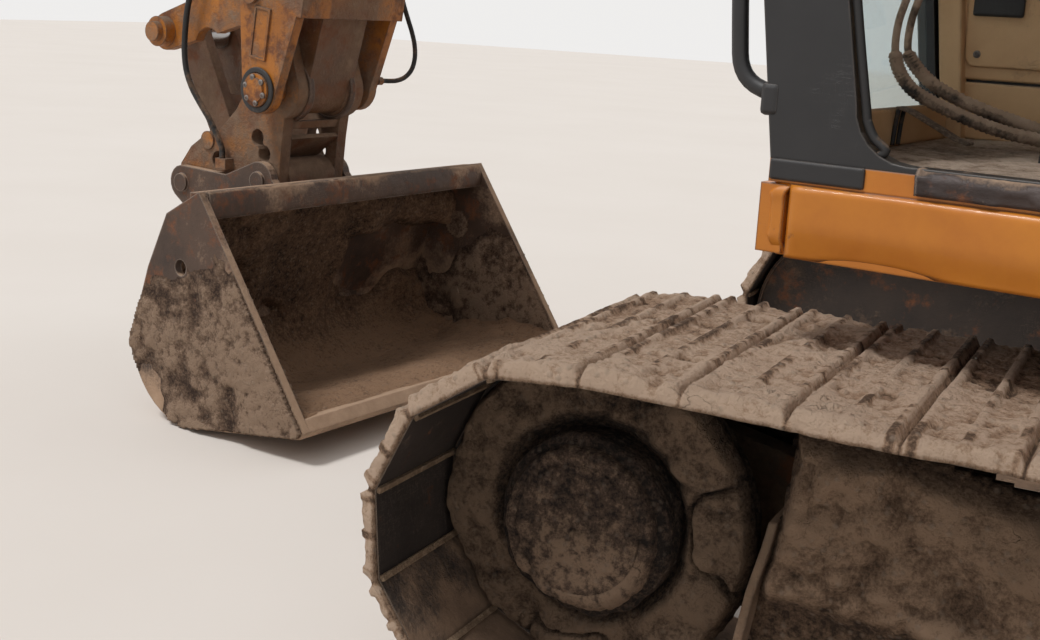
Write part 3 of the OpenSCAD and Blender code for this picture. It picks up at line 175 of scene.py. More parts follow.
def dirtGroup():
    # dust and mud: more on faces that look up and low down, in patches
    tree, come, go = newGroup("settledDirt", [
        ("Amount", numberIn, 0.3), ("Upward", numberIn, 0.3), ("Low", numberIn, 0.5), ("LowAmount", numberIn, 0.0),
        ("Scale", numberIn, 6.0), ("Light", colourIn, (0.5, 0.4, 0.3, 1)), ("Dark", colourIn, (0.2, 0.15, 0.1, 1))],
        [("Mask", numberIn), ("Color", colourIn), ("Height", numberIn)])
    where = add(tree, "ShaderNodeTexCoord").outputs["Object"]
    face = add(tree, "ShaderNodeSeparateXYZ", {0: add(tree, "ShaderNodeNewGeometry").outputs["Normal"]}).outputs["Z"]
    high = add(tree, "ShaderNodeSeparateXYZ", {0: where}).outputs["Z"]
    up = sums(tree, "MULTIPLY", span(tree, face, 0.1, 0.9), come.outputs["Upward"])
    below = span(tree, high, come.outputs["Low"], 0.0)
    below = sums(tree, "MULTIPLY", below, come.outputs["LowAmount"])
    big = noise(tree, where, come.outputs["Scale"], 6.0, 0.62)
    fine = noise(tree, where, 90.0, 4.0, 0.7)
    total = sums(tree, "ADD", sums(tree, "ADD", come.outputs["Amount"], up), below)
    field = sums(tree, "ADD", total, sums(tree, "MULTIPLY_ADD", fine, 0.3, big))
    mask = span(tree, field, 1.0, 1.22)
    shade = sums(tree, "MULTIPLY_ADD", noise(tree, where, 14.0, 6.0, 0.7), 1.6, -0.3, True)
    colour = mixed(tree, shade, come.outputs["Dark"], come.outputs["Light"])
    tree.links.new(mask, go.inputs["Mask"])
    tree.links.new(colour, go.inputs["Color"])
    tree.links.new(sums(tree, "MULTIPLY", mask, sums(tree, "MULTIPLY_ADD", fine, 0.6, 0.7)), go.inputs["Height"])
    return tree


def scratchGroup():
    # long thin scratches in two directions
    tree, come, go = newGroup("scratches", [("Amount", numberIn, 0.5), ("Scale", numberIn, 8.0)], [("Mask", numberIn)])
    where = add(tree, "ShaderNodeTexCoord").outputs["Object"]
    lines = []
    for stretch, turnBy in (((1.0, 1.0, 14.0), 0.35), ((16.0, 14.0, 1.2), 0.9)):
        moved = add(tree, "ShaderNodeMapping", {"Vector": where, "Rotation": (turnBy, turnBy * 0.6, 0.2),
                                                "Scale": stretch}).outputs[0]
        fibres = noise(tree, moved, come.outputs["Scale"], 3.0, 0.6)
        lines.append(span(tree, sums(tree, "ABSOLUTE", sums(tree, "SUBTRACT", fibres, 0.5)), 0.006, 0.0))
    patches = span(tree, noise(tree, where, 3.0, 3.0), 0.5, 0.62)
    mask = sums(tree, "MULTIPLY", sums(tree, "MAXIMUM", lines[0], lines[1]), patches)
    tree.links.new(sums(tree, "MULTIPLY", mask, come.outputs["Amount"]), go.inputs["Mask"])
    return tree


edgeWear, settledDirt, scratches = edgeWearGroup(), dirtGroup(), scratchGroup()


def grouped(tree, group, **values):
    n = tree.nodes.new("ShaderNodeGroup")
    n.node_tree = group
    for key, value in values.items():
        n.inputs[key].default_value = value
    return n


mudLight, mudMid, mudDark = paint(184, 155, 129), paint(146, 118, 95), paint(86, 68, 54)


def finish(name, tint, shade, rough=0.5, metal=0.0, edge=paint(88, 66, 52), wear=0.6, edgeRadius=0.006,
           dirt=0.1, dirtUp=0.25, low=0.0, lowDirt=0.0, dirtScale=5.0, scratch=0.5, rust=0.0, pit=0.0,
           light=mudLight, dark=mudMid, coat=0.0, mottle=4.0, shadeAndSoilBand=None):
    # a painted or bare metal face with worn edges, scratches, rust bloom and settled dirt
    m = bpy.data.materials.new(name)
    m.use_nodes = True
    tree = m.node_tree
    tree.nodes.clear()
    out = tree.nodes.new("ShaderNodeOutputMaterial")
    shader = add(tree, "ShaderNodeBsdfPrincipled", {"Coat Weight": coat})
    tree.links.new(shader.outputs[0], out.inputs[0])
    where = add(tree, "ShaderNodeTexCoord").outputs["Object"]
    patches = sums(tree, "MULTIPLY_ADD", noise(tree, where, mottle, 6.0, 0.65), 2.2, -0.6, True)
    colour = mixed(tree, patches, shade, tint)
    if shadeAndSoilBand:  # painted shade and soil: a darker colour about the arm's middle, near its low end, on the inner parts between the side plates
        off = add(tree, "ShaderNodeVectorMath", {0: where, 1: (0.14522, 0.98940, 0)},
                  operation="DOT_PRODUCT").outputs["Value"]
        off = sums(tree, "ABSOLUTE", sums(tree, "ADD", off, 0.15016))
        off = sums(tree, "MULTIPLY_ADD", noise(tree, where, 7.0, 5.0), 0.02, off)
        high = add(tree, "ShaderNodeSeparateXYZ", {0: where}).outputs["Z"]
        near = sums(tree, "MULTIPLY", span(tree, off, shadeAndSoilBand[1] + 0.012, shadeAndSoilBand[1]), span(tree, high, shadeAndSoilBand[2] + 0.5, shadeAndSoilBand[2]))
        colour = mixed(tree, sums(tree, "MULTIPLY", near, 0.85), colour, mixed(tree, patches, paint(58, 44, 36), shadeAndSoilBand[0]))
    scratched = grouped(tree, scratches, Amount=scratch).outputs[0]
    colour = mixed(tree, scratched, colour, edge)
    bare = scratched
    if rust:
        bloom = noise(tree, where, 9.0, 8.0, 0.72)
        bloomMask = span(tree, bloom, 0.66 - 0.3 * rust, 0.74 - 0.22 * rust)
        rusty = mixed(tree, noise(tree, where, 60.0, 5.0, 0.7), paint(84, 50, 32), paint(132, 84, 54))
        colour = mixed(tree, bloomMask, colour, rusty)
        bare = sums(tree, "MAXIMUM", bare, bloomMask)
    worn = grouped(tree, edgeWear, Radius=edgeRadius, Reach=wear)
    colour = mixed(tree, worn.outputs["Mask"], colour, edge)
    cover = grouped(tree, settledDirt, Amount=dirt, Upward=dirtUp, Low=low, LowAmount=lowDirt, Scale=dirtScale,
                    Light=light, Dark=dark)
    colour = mixed(tree, cover.outputs["Mask"], colour, cover.outputs["Color"])
    tree.links.new(colour, shader.inputs["Base Color"])
    duller = sums(tree, "MAXIMUM", cover.outputs["Mask"], sums(tree, "MULTIPLY", bare, 0.8))
    tree.links.new(span(tree, sums(tree, "MULTIPLY_ADD", noise(tree, where, 22.0, 4.0), 0.3, duller), 0.0, 1.15,
                        rough - 0.08, 0.93), shader.inputs["Roughness"])
    if metal:
        tree.links.new(span(tree, duller, 0.0, 0.7, metal, 0.0), shader.inputs["Metallic"])
    height = sums(tree, "MULTIPLY_ADD", cover.outputs["Height"], 0.9, sums(tree, "MULTIPLY", bare, -0.25))
    if pit:
        height = sums(tree, "MULTIPLY_ADD", noise(tree, where, 45.0, 8.0, 0.72), pit, height)
    bump = add(tree, "ShaderNodeBump", {"Height": height, "Distance": 0.004, "Strength": 0.8,
                                        "Normal": worn.outputs["Normal"]})
    tree.links.new(bump.outputs[0], shader.inputs["Normal"])
    return m


def earth(name, light, mid, dark, rough=0.95, stones=0.5, scale=1.0):
    # caked mud: the piece's own tone attribute darkens the hollows, which is painted shade, with grains, small stones
    # and cracks
    m = bpy.data.materials.new(name)
    m.use_nodes = True
    tree = m.node_tree
    tree.nodes.clear()
    out = tree.nodes.new("ShaderNodeOutputMaterial")
    shader = add(tree, "ShaderNodeBsdfPrincipled", {"Roughness": rough, "Specular IOR Level": 0.25})
    tree.links.new(shader.outputs[0], out.inputs[0])
    where = add(tree, "ShaderNodeTexCoord").outputs["Object"]
    toneAndShade = add(tree, "ShaderNodeAttribute", attribute_name="toneAndShade").outputs["Fac"]
    wide = noise(tree, where, 5.0 * scale, 6.0, 0.65)
    grains = noise(tree, where, 120.0, 6.0, 0.75)
    tone = sums(tree, "ADD", sums(tree, "MULTIPLY", toneAndShade, 0.75), sums(tree, "MULTIPLY_ADD", wide, 0.9, -0.22))
    lumps = noise(tree, where, 38.0, 8.0, 0.75)
    tone = sums(tree, "ADD", tone, sums(tree, "MULTIPLY_ADD", grains, 1.5, -0.76))
    tone = sums(tree, "ADD", tone, sums(tree, "MULTIPLY_ADD", lumps, 1.5, -0.76))
    colour = mixed(tree, span(tree, tone, 0.12, 0.48), dark, mid)
    colour = mixed(tree, span(tree, tone, 0.5, 0.86), colour, light)
    pebbles = add(tree, "ShaderNodeTexVoronoi", {"Vector": where, "Scale": 55.0})
    pebble = span(tree, pebbles.outputs["Distance"], 0.42, 0.16)
    chosen = span(tree, add(tree, "ShaderNodeSeparateColor", {0: pebbles.outputs["Color"]}).outputs[0], 0.62, 0.7)
    pebble = sums(tree, "MULTIPLY", sums(tree, "MULTIPLY", pebble, chosen), stones)
    colour = mixed(tree, pebble, colour, mixed(tree, 0.5, light, paint(150, 140, 128)))
    bent = add(tree, "ShaderNodeVectorMath", {0: add(tree, "ShaderNodeTexNoise",
                                                     {"Vector": where, "Scale": 22.0, "Detail": 5.0}).outputs["Color"],
                                              1: (0.09, 0.09, 0.09), 2: where}, operation="MULTIPLY_ADD").outputs[0]
    split = add(tree, "ShaderNodeTexVoronoi", {"Vector": bent, "Scale": 21.0},
                feature="DISTANCE_TO_EDGE").outputs["Distance"]
    split = sums(tree, "MULTIPLY", span(tree, split, 0.035, 0.0), span(tree, wide, 0.56, 0.68))
    colour = mixed(tree, sums(tree, "MULTIPLY", split, 0.4), colour, tuple(0.45 * c for c in dark[:3]) + (1,))
    tree.links.new(colour, shader.inputs["Base Color"])
    height = sums(tree, "MULTIPLY_ADD", pebble, 0.5, sums(tree, "MULTIPLY_ADD", grains, 0.4, lumps))
    height = sums(tree, "MULTIPLY_ADD", split, -0.5, height)
    bump = add(tree, "ShaderNodeBump", {"Height": height, "Distance": 0.024, "Strength": 1.0})
    tree.links.new(bump.outputs[0], shader.inputs["Normal"])
    return m


def glassFinish(name, tint, rough=0.06, dirt=0.35):
    m = bpy.data.materials.new(name)
    m.use_nodes = True
    tree = m.node_tree
    tree.nodes.clear()
    out = tree.nodes.new("ShaderNodeOutputMaterial")
    shader = add(tree, "ShaderNodeBsdfPrincipled", {"Transmission Weight": 0.9, "IOR": 1.2, "Metallic": 0.0})
    tree.links.new(shader.outputs[0], out.inputs[0])
    cover = grouped(tree, settledDirt, Amount=dirt, Upward=0.0, Low=0.0, LowAmount=0.0, Scale=3.0,
                    Light=mudLight, Dark=mudMid)
    dusty = sums(tree, "MULTIPLY", cover.outputs["Mask"], 0.55)
    tree.links.new(mixed(tree, dusty, tint, mudLight), shader.inputs["Base Color"])
    tree.links.new(span(tree, dusty, 0.0, 1.0, rough, 0.7), shader.inputs["Roughness"])
    return m


def clothFinish(name, tint, shade):
    m = bpy.data.materials.new(name)
    m.use_nodes = True
    tree = m.node_tree
    tree.nodes.clear()
    out = tree.nodes.new("ShaderNodeOutputMaterial")
    shader = add(tree, "ShaderNodeBsdfPrincipled", {"Roughness": 0.95, "Sheen Weight": 0.3, "Sheen Roughness": 0.5})
    tree.links.new(shader.outputs[0], out.inputs[0])
    where = add(tree, "ShaderNodeTexCoord").outputs["Object"]
    threads = []
    for turnBy in (0.1457, 0.1457 + math.pi / 2):
        line = add(tree, "ShaderNodeMapping", {"Vector": where, "Rotation": (0, 0, turnBy)}).outputs[0]
        threads.append(add(tree, "ShaderNodeTexWave", {"Vector": line, "Scale": 90.0, "Distortion": 0.6}).outputs["Fac"])
    weave = sums(tree, "MAXIMUM", threads[0], threads[1])
    worn = noise(tree, where, 6.0, 5.0, 0.6)
    colour = mixed(tree, worn, shade, tint)
    cover = grouped(tree, settledDirt, Amount=0.2, Upward=0.18, Low=0.0, LowAmount=0.0, Scale=9.0,
                    Light=paint(132, 112, 94), Dark=paint(86, 74, 64))
    colour = mixed(tree, sums(tree, "MULTIPLY", cover.outputs["Mask"], 0.7), colour, cover.outputs["Color"])
    tree.links.new(mixed(tree, sums(tree, "MULTIPLY", weave, 0.35), colour, shade), shader.inputs["Base Color"])
    bump = add(tree, "ShaderNodeBump", {"Height": weave, "Distance": 0.0008, "Strength": 0.6})
    tree.links.new(bump.outputs[0], shader.inputs["Normal"])
    return m


ochre = dict(tint=paint(204, 128, 32), shade=paint(178, 102, 22), edge=paint(96, 62, 40))
looks = dict(
    skirtPaint=finish("skirtPaint", **ochre, rough=0.42, dirt=0.13, dirtUp=0.2, low=1.15, lowDirt=0.25, wear=0.7,
                      rust=0.12, coat=0.15),
    bodyPaint=finish("bodyPaint", **ochre, rough=0.45, dirt=0.14, dirtUp=0.22, wear=0.6, rust=0.1, coat=0.15),
    # armPaint and toolPaint: their band is painted shade and soil on the inner parts between the side plates
    armPaint=finish("armPaint", tint=paint(188, 116, 34), shade=paint(140, 84, 30), edge=paint(84, 60, 46), rough=0.5,
                    dirt=0.4, dirtUp=0.25, wear=1.0, rust=0.6, scratch=0.9, pit=0.5, dirtScale=7.0, dark=mudDark,
                    light=mudMid,
                    shadeAndSoilBand=(paint(104, 76, 54), 0.132, 1.3)),
    toolPaint=finish("toolPaint", tint=paint(186, 118, 38), shade=paint(136, 84, 34), edge=paint(80, 58, 46), rough=0.55,
                     dirt=0.46, dirtUp=0.3, wear=1.1, rust=0.72, scratch=0.9, pit=0.6, dirtScale=8.0, dark=mudDark,
                     light=mudMid, edgeRadius=0.008,
                     shadeAndSoilBand=(paint(98, 74, 56), 0.176, 0.95)),
    framePaint=finish("framePaint", tint=paint(104, 80, 56), shade=paint(62, 50, 40), edge=paint(74, 58, 48), rough=0.7,
                      dirt=0.36, dirtUp=0.35, low=0.6, lowDirt=0.3, wear=0.9, rust=0.4, pit=0.5, light=mudMid,
                      dark=mudDark),
    guardSteel=finish("guardSteel", tint=paint(66, 54, 46), shade=paint(38, 32, 29), edge=paint(128, 106, 88), rough=0.75,
                      metal=0.1, dirt=0.3, dirtUp=0.4, wear=0.9, scratch=0.6, rust=0.35, pit=0.9, light=mudMid,
                      dark=mudDark),
    sillSteel=finish("sillSteel", tint=paint(78, 66, 62), shade=paint(44, 37, 36), edge=paint(172, 158, 148), rough=0.45,
                     metal=0.35, dirt=0.3, dirtUp=0.3, wear=1.0, scratch=1.0, rust=0.3, pit=0.8,
                     light=paint(170, 146, 124)),
    blackPaint=finish("blackPaint", tint=paint(40, 39, 40), shade=paint(28, 27, 28), edge=paint(92, 84, 78), rough=0.42,
                      dirt=0.16, dirtUp=0.2, wear=0.45, scratch=0.5, light=paint(120, 106, 94), dark=paint(80, 70, 62)),
    darkTrim=finish("darkTrim", tint=paint(46, 44, 44), shade=paint(32, 30, 30), edge=paint(70, 64, 60), rough=0.6,
                    dirt=0.25, dirtUp=0.25, wear=0.3, scratch=0.3, light=paint(140, 122, 106), dark=paint(96, 84, 74)),
    rustSteel=finish("rustSteel", tint=paint(98, 76, 62), shade=paint(60, 47, 40), edge=paint(140, 124, 112), rough=0.62,
                     metal=0.25, dirt=0.28, dirtUp=0.3, low=0.55, lowDirt=0.35, wear=0.8, scratch=0.9, rust=0.5, pit=0.7,
                     dirtScale=4.0, edgeRadius=0.008),
    wornSteel=finish("wornSteel", tint=paint(106, 98, 94), shade=paint(66, 58, 54), edge=paint(150, 142, 136), rough=0.5,
                     metal=0.45, dirt=0.22, dirtUp=0.2, wear=0.6, scratch=0.9, rust=0.35, pit=0.5),
    trackSteel=finish("trackSteel", tint=paint(70, 62, 58), shade=paint(40, 35, 33), edge=paint(150, 130, 112), rough=0.55,
                      metal=0.25, dirt=0.26, dirtUp=0.4, wear=0.5, scratch=0.6, rust=0.25, pit=0.5, dirtScale=7.0,
                      light=mudMid, dark=mudDark),
    rodChrome=finish("rodChrome", tint=paint(196, 198, 200), shade=paint(176, 178, 182), edge=paint(150, 150, 152),
                     rough=0.16,
                     metal=0.95, dirt=0.05, dirtUp=0.1, wear=0.1, scratch=0.25),
    cabBeige=finish("cabBeige", tint=paint(214, 176, 132), shade=paint(192, 152, 110), edge=paint(104, 88, 72), rough=0.6,
                    dirt=0.16, dirtUp=0.3, wear=0.4, scratch=0.4, dark=paint(116, 94, 74), light=paint(176, 148, 120)),
    dustyRubber=finish("dustyRubber", tint=paint(58, 52, 48), shade=paint(36, 33, 31), edge=paint(120, 106, 94), rough=0.8,
                       dirt=0.5, dirtUp=0.35, wear=0.6, scratch=0.4, light=paint(176, 154, 134), dark=mudMid,
                       dirtScale=14.0),
    rubber=finish("rubber", tint=paint(34, 32, 32), shade=paint(22, 21, 21), edge=paint(62, 56, 52), rough=0.62,
                  dirt=0.2, dirtUp=0.25, low=1.7, lowDirt=0.4, wear=0.2, scratch=0.2, light=mudMid, dark=mudDark,
                  dirtScale=12.0),
    glass=glassFinish("windowGlass", paint(214, 226, 226)),
    lampGlass=glassFinish("lampGlass", paint(236, 236, 228), 0.15, 0.2),
    glassDark=finish("displayPane", tint=paint(24, 28, 30), shade=paint(18, 20, 22), rough=0.2, dirt=0.15, scratch=0.2,
                     wear=0.1),
    seatCloth=clothFinish("seatCloth", paint(52, 50, 50), paint(34, 33, 34)),
    tailGlass=glassFinish("tailGlass", paint(200, 70, 50), 0.2, 0.2),
    treadMud=earth("treadMud", paint(212, 184, 160), paint(178, 146, 120), paint(104, 82, 66)),
    paleMud=earth("paleMud", paint(206, 178, 150), paint(188, 160, 132), paint(150, 124, 100)),
    frameMud=earth("frameMud", paint(160, 132, 108), paint(118, 94, 75), paint(62, 48, 38), scale=1.3),
    driveMud=earth("driveMud", paint(140, 116, 95), paint(98, 79, 64), paint(48, 39, 33), stones=0.3, scale=1.5),
    bucketMud=earth("bucketMud", paint(166, 132, 104), paint(122, 96, 76), paint(58, 46, 38), scale=0.8),
    coverMud=earth("coverMud", paint(150, 124, 102), paint(92, 74, 62), paint(40, 33, 29), stones=0.3, scale=2.2),
    crustMud=earth("crustMud", paint(164, 138, 116), paint(118, 95, 78), paint(66, 50, 41), stones=0.3),
    floorMud=earth("floorMud", paint(206, 184, 164), paint(176, 152, 132), paint(112, 94, 80), stones=0.3, scale=2.0),
)
nodeLooks = dict(
    car_body="framePaint", track_frames="framePaint", track_chains="trackSteel", sprockets="trackSteel",
    final_drives="trackSteel", rollers="trackSteel", slew_ring="wornSteel", platform="darkTrim", boom_towers="darkTrim",
    swing_gear="darkTrim", deck_skirts="skirtPaint", counterweight="bodyPaint", engine="wornSteel",
    engine_house="bodyPaint", tanks="bodyPaint", handrails="blackPaint", exhaust="rustSteel", cab_floor="skirtPaint",
    cab_shell="blackPaint", cab_roof="bodyPaint", cab_windows="glass", seat_base="darkTrim", cab_controls="darkTrim",
    work_lamps="lampGlass", cab_door="bodyPaint", door_glass="glass", hood="bodyPaint", side_door_left="bodyPaint",
    side_door_right="bodyPaint", boom_base="bodyPaint", boom_upper="bodyPaint", stick="armPaint",
    tipping_levers="armPaint", bucket_link="armPaint", coupler="toolPaint", bucket_shell="rustSteel",
    bucket_sides="rustSteel", bucket_ears="rustSteel", boom_barrels="bodyPaint", adjust_barrel="bodyPaint",
    stick_barrel="bodyPaint", bucket_barrel="armPaint", boom_rods="rodChrome", adjust_rod="rodChrome",
    stick_rod="rodChrome", bucket_rod="rodChrome", near_hose="rubber", far_hose="rubber", seat_cushion="darkTrim",
    seat_back="darkTrim")
for nodeName, lookName in nodeLooks.items():
    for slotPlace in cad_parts[nodeName].material_slots:
        slotPlace.material = looks[lookName]
say("materials")


# Noise for real relief, the same each run
def latticeValue(x, y, z, seed):
    h = (x * 73856093) ^ (y * 19349663) ^ (z * 83492791) ^ (seed * 2654435)
    h = (h ^ (h >> 13)) * 1274126177 & 0x7FFFFFFF
    h = (h ^ (h >> 15)) * 668265263 & 0x7FFFFFFF
    return ((h ^ (h >> 16)) & 0xFFFF) / 65535


def smoothNoise(p, seed=1):
    cell = np.floor(p).astype(np.int64)
    f = p - cell
    f = f * f * (3 - 2 * f)
    total = 0
    for corner in range(8):
        dx, dy, dz = corner & 1, corner >> 1 & 1, corner >> 2
        w = (f[..., 0] if dx else 1 - f[..., 0]) * (f[..., 1] if dy else 1 - f[...,
                                                                               1]) * (f[..., 2] if dz else 1 - f[..., 2])
        total = total + w * latticeValue(cell[..., 0] + dx, cell[..., 1] + dy, cell[..., 2] + dz, seed)
    return total


def layered(p, size, octaves=5, seed=1, fall=0.55):
    # value about 0.5, from 0 to 1; size is the widest lump in metres
    total, weight, share = 0, 0, 1
    for k in range(octaves):
        total = total + share * smoothNoise(p / size * 2 ** k + 17.3 * k, seed + k)
        weight += share
        share *= fall
    return np.clip((total / weight - 0.5) * 1.6 + 0.5, 0, 1)


def clods(p, size, seed=1):
    # rounded lumps: 1 at a lump's middle, 0 in the creases between them
    q = p / size
    cell = np.floor(q).astype(np.int64)
    near = np.full(q.shape[:-1], 9.0)
    for dx in (-1, 0, 1):
        for dy in (-1, 0, 1):
            for dz in (-1, 0, 1):
                c = cell + [dx, dy, dz]
                spot = np.stack([c[..., k] + 0.15 + 0.7 * latticeValue(c[..., 0], c[..., 1], c[..., 2], seed + 7 * k)
                                 for k in range(3)], -1)
                near = np.minimum(near, ((q - spot) ** 2).sum(-1))
    return np.clip(1 - near, 0, 1)


def ramp(x, low, high):
    t = np.clip((x - low) / (high - low), 0, 1)
    return t * t * (3 - 2 * t)


def meshPiece(name, verts, faces, look, body, smooth=True, toneAndShade=None):
    mesh = bpy.data.meshes.new(name)
    mesh.from_pydata(np.asarray(verts).tolist(), [], faces if isinstance(faces, list) else faces.tolist())
    mesh.materials.append(looks[look] if isinstance(look, str) else look)
    mesh.polygons.foreach_set("use_smooth", [smooth] * len(mesh.polygons))
    if toneAndShade is not None:
        mesh.attributes.new("toneAndShade", "FLOAT", "POINT").data.foreach_set("value", np.asarray(toneAndShade, np.float32).ravel())
    obj = bpy.data.objects.new(name, mesh)
    scene.collection.objects.link(obj)
    if body:
        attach(obj, body)
    return obj


def blurred(a, reach):
    for axis in (0, 1):
        pad = [(reach + 1, reach) if k == axis else (0, 0) for k in (0, 1)]
        c = np.cumsum(np.pad(a, pad, "edge"), axis)
        ends = c.shape[axis]
        a = (np.take(c, range(2 * reach + 1, ends), axis) - np.take(c, range(ends - 2 * reach - 1), axis)) / (2 * reach + 1)
    return a


def crust(name, base, normal, height, look, body, keep=None, back=0.008, toneAndShade=None, loop=False):
    # a closed skin over a grid of points: height out along the normals, back under the surface; keep drops cells
    m, n = height.shape
    cells = np.arange(m * n).reshape(m, n)
    if loop:
        cells = np.concatenate([cells, cells[:1]])
    a, b, c, d = cells[:-1, :-1], cells[1:, :-1], cells[1:, 1:], cells[:-1, 1:]
    quads = np.stack([a, b, c, d], -1).reshape(-1, 4)
    if keep is not None:
        keep = np.concatenate([keep, keep[:1]]) if loop else keep
        whole = keep[:-1, :-1] & keep[1:, :-1] & keep[1:, 1:] & keep[:-1, 1:]
        quads = quads[whole.ravel()]
    top = (base + normal * height[..., None]).reshape(-1, 3)
    rear = (base - normal * (back[..., None] if isinstance(back, np.ndarray) else back)).reshape(-1, 3)
    p = top[quads]
    facing = (np.cross(p[:, 2] - p[:, 0], p[:, 3] - p[:, 1]) * normal.reshape(-1, 3)[quads[:, 0]]).sum(-1)
    if np.median(facing) < 0:
        quads = quads[:, ::-1]
    total = m * n
    edges = np.concatenate([np.stack([quads[:, k], quads[:, (k + 1) % 4]], -1) for k in range(4)])
    there, opposite = edges[:, 0] * total + edges[:, 1], edges[:, 1] * total + edges[:, 0]
    rim = edges[~np.isin(there, opposite)]
    sides = np.stack([rim[:, 1], rim[:, 0], rim[:, 0] + total, rim[:, 1] + total], -1)
    rearFaces = quads[:, ::-1] + total
    if keep is None:  # nobody sees the back: its points join up four by four
        near = [np.minimum((np.arange(k) + 2) // 4 * 4, k - 1) for k in (m, n)]
        if loop:
            near[0] = np.arange(m) // 4 * 4
        merged = np.concatenate([np.arange(total), total + (near[0][:, None] * n + near[1][None]).ravel()])
        rearFaces, sides = merged[rearFaces], merged[sides]
        rearFaces = rearFaces[[len(set(f)) > 2 for f in rearFaces.tolist()]]
    faces = np.concatenate([quads, rearFaces, sides])
    used, faces = np.unique(faces, return_inverse=True)
    faces = [list(dict.fromkeys(f)) for f in faces.reshape(-1, 4).tolist()]
    verts = np.concatenate([top, rear])[used]
    # the tone attribute defaults to the height, so thin mud and hollows come out darker: painted shade
    tone = height if toneAndShade is None else toneAndShade
    tone = (tone - tone.min()) / max(1e-6, float(tone.max() - tone.min()))
    # the difference from a blurred copy darkens each hollow against its neighbours: painted shade
    tone = np.clip(0.12 + 0.76 * tone + 2.0 * (tone - blurred(tone, 4)), 0, 1)
    tone = np.concatenate([tone.ravel(), np.full(total, 0.2)])[used]
    return meshPiece(name, verts, faces, look, body, toneAndShade=tone)


def slabPiece(name, outline, low, high, to, look, body, bevel=0.003, axis="y", segments=2):
    # a flat plate from an outline in mm; axis is the direction of its thickness
    put = dict(y=lambda u, v, w: (u, w, v), z=lambda u, v, w: (u, v, w), x=lambda u, v, w: (w, u, v))[axis]
    n = len(outline)
    pts = [put(u, v, low) for u, v in outline] + [put(u, v, high) for u, v in outline]
    faces = [list(range(n))[::-1], list(range(n, 2 * n))] + [[k, (k + 1) % n, n + (k + 1) % n, n + k] for k in range(n)]
    area = sum(outline[k][0] * outline[(k + 1) % n][1] - outline[(k + 1) % n][0] * outline[k][1] for k in range(n))
    if (area > 0) == (axis == "y"):
        faces = [f[::-1] for f in faces]
    obj = meshPiece(name, to(np.array(pts, float)), faces, look, body, smooth=False)
    if bevel:
        b = obj.modifiers.new("edges", "BEVEL")
        b.width, b.segments, b.limit_method, b.angle_limit = bevel, segments, "ANGLE", 0.5
    return obj


def blockPiece(name, x, y, z, to, look, body, bevel=0.003):
    return slabPiece(name, [(x[0], z[0]), (x[1], z[0]), (x[1], z[1]), (x[0], z[1])], y[0], y[1], to, look, body, bevel)


def smoothPath(points, per=6):
    # a curve through the points, per steps between each two
    p = np.asarray(points, float)
    p = np.concatenate([2 * p[:1] - p[1:2], p, 2 * p[-1:] - p[-2:-1]])
    out = []
    for k in range(1, len(p) - 2):
        for t in np.arange(per) / per:
            a, b, c, d = p[k - 1:k + 3]
            out.append(0.5 * (2 * b + (c - a) * t + (2 * a - 5 * b + 4 * c - d) * t * t + (3 * b - a - 3 * c + d) * t ** 3))
    return np.array(out + [p[-2]])


def tubeMesh(path, radius, sides=14):
    # a capped tube along the path; radius may be one number or one for each point
    path = np.asarray(path, float)
    n = len(path)
    radius = np.broadcast_to(np.asarray(radius, float), (n,))
    heading = np.gradient(path, axis=0)
    heading /= np.linalg.norm(heading, axis=1)[:, None]
    across = np.cross(heading[0], [0.3, 0.9, 0.1])
    verts = []
    for k in range(n):
        across = across - heading[k] * (across @ heading[k])
        across /= np.linalg.norm(across)
        other = np.cross(heading[k], across)
        t = np.arange(sides) * 2 * np.pi / sides
        verts.append(path[k] + radius[k] * (np.cos(t)[:, None] * across + np.sin(t)[:, None] * other))
    verts = np.concatenate(verts)
    faces = [[k * sides + s, k * sides + (s + 1) % sides, (k + 1) * sides + (s + 1) % sides, (k + 1) * sides + s]
             for k in range(n - 1) for s in range(sides)]
    faces += [list(range(sides))[::-1], [(n - 1) * sides + s for s in range(sides)]]
    return verts, faces


def tubePiece(name, points, radius, to, look, body, per=6, sides=14):
    path = to(smoothPath(points, per)) if to else smoothPath(points, per)
    verts, faces = tubeMesh(path, radius / 1000, sides)
    return meshPiece(name, verts, faces, look, body)


# Hoses: the routes are the source's own points, in the upper structure's millimetres
hoses = dict(
    nearHose=dict(node="near_hose", radius=11.5, route=[
        [3936, 203, 2101], [3944, 203, 2051], [3956, 204, 1998], [3978, 208, 1945], [4012, 216, 1893],
        [4055, 227, 1842], [4104, 240, 1793], [4155, 253, 1744], [4206, 265, 1693], [4253, 275, 1639],
        [4295, 282, 1580], [4328, 286, 1518], [4352, 287, 1452], [4367, 287, 1385], [4375, 287, 1316],
        [4376, 287, 1250], [4367, 284, 1187], [4345, 277, 1128], [4313, 266, 1073], [4280, 253, 1020],
        [4255, 242, 970], [4237, 233, 927], [4229, 228, 896], [4229, 228, 866.3]]),
    farHose=dict(node="far_hose", radius=9.5, route=[
        [3807, -153, 2343], [3814, -153, 2293], [3821, -159, 2241], [3827, -173, 2189], [3832, -194, 2138],
        [3836, -219, 2088], [3838, -244, 2038], [3839, -265, 1985], [3839, -279, 1930], [3838, -287, 1874],
        [3836, -291, 1817], [3833, -294, 1760], [3830, -298, 1703], [3826, -304, 1646], [3822, -313, 1589],
        [3818, -327, 1533], [3814, -346, 1480], [3811, -369, 1429], [3808, -392, 1379], [3807, -410, 1328],
        [3808, -415, 1277], [3813, -404, 1232], [3823, -377, 1201], [3836, -345, 1187], [3850, -318, 1184],
        [3861, -296, 1184], [3861, -275, 1184]]))
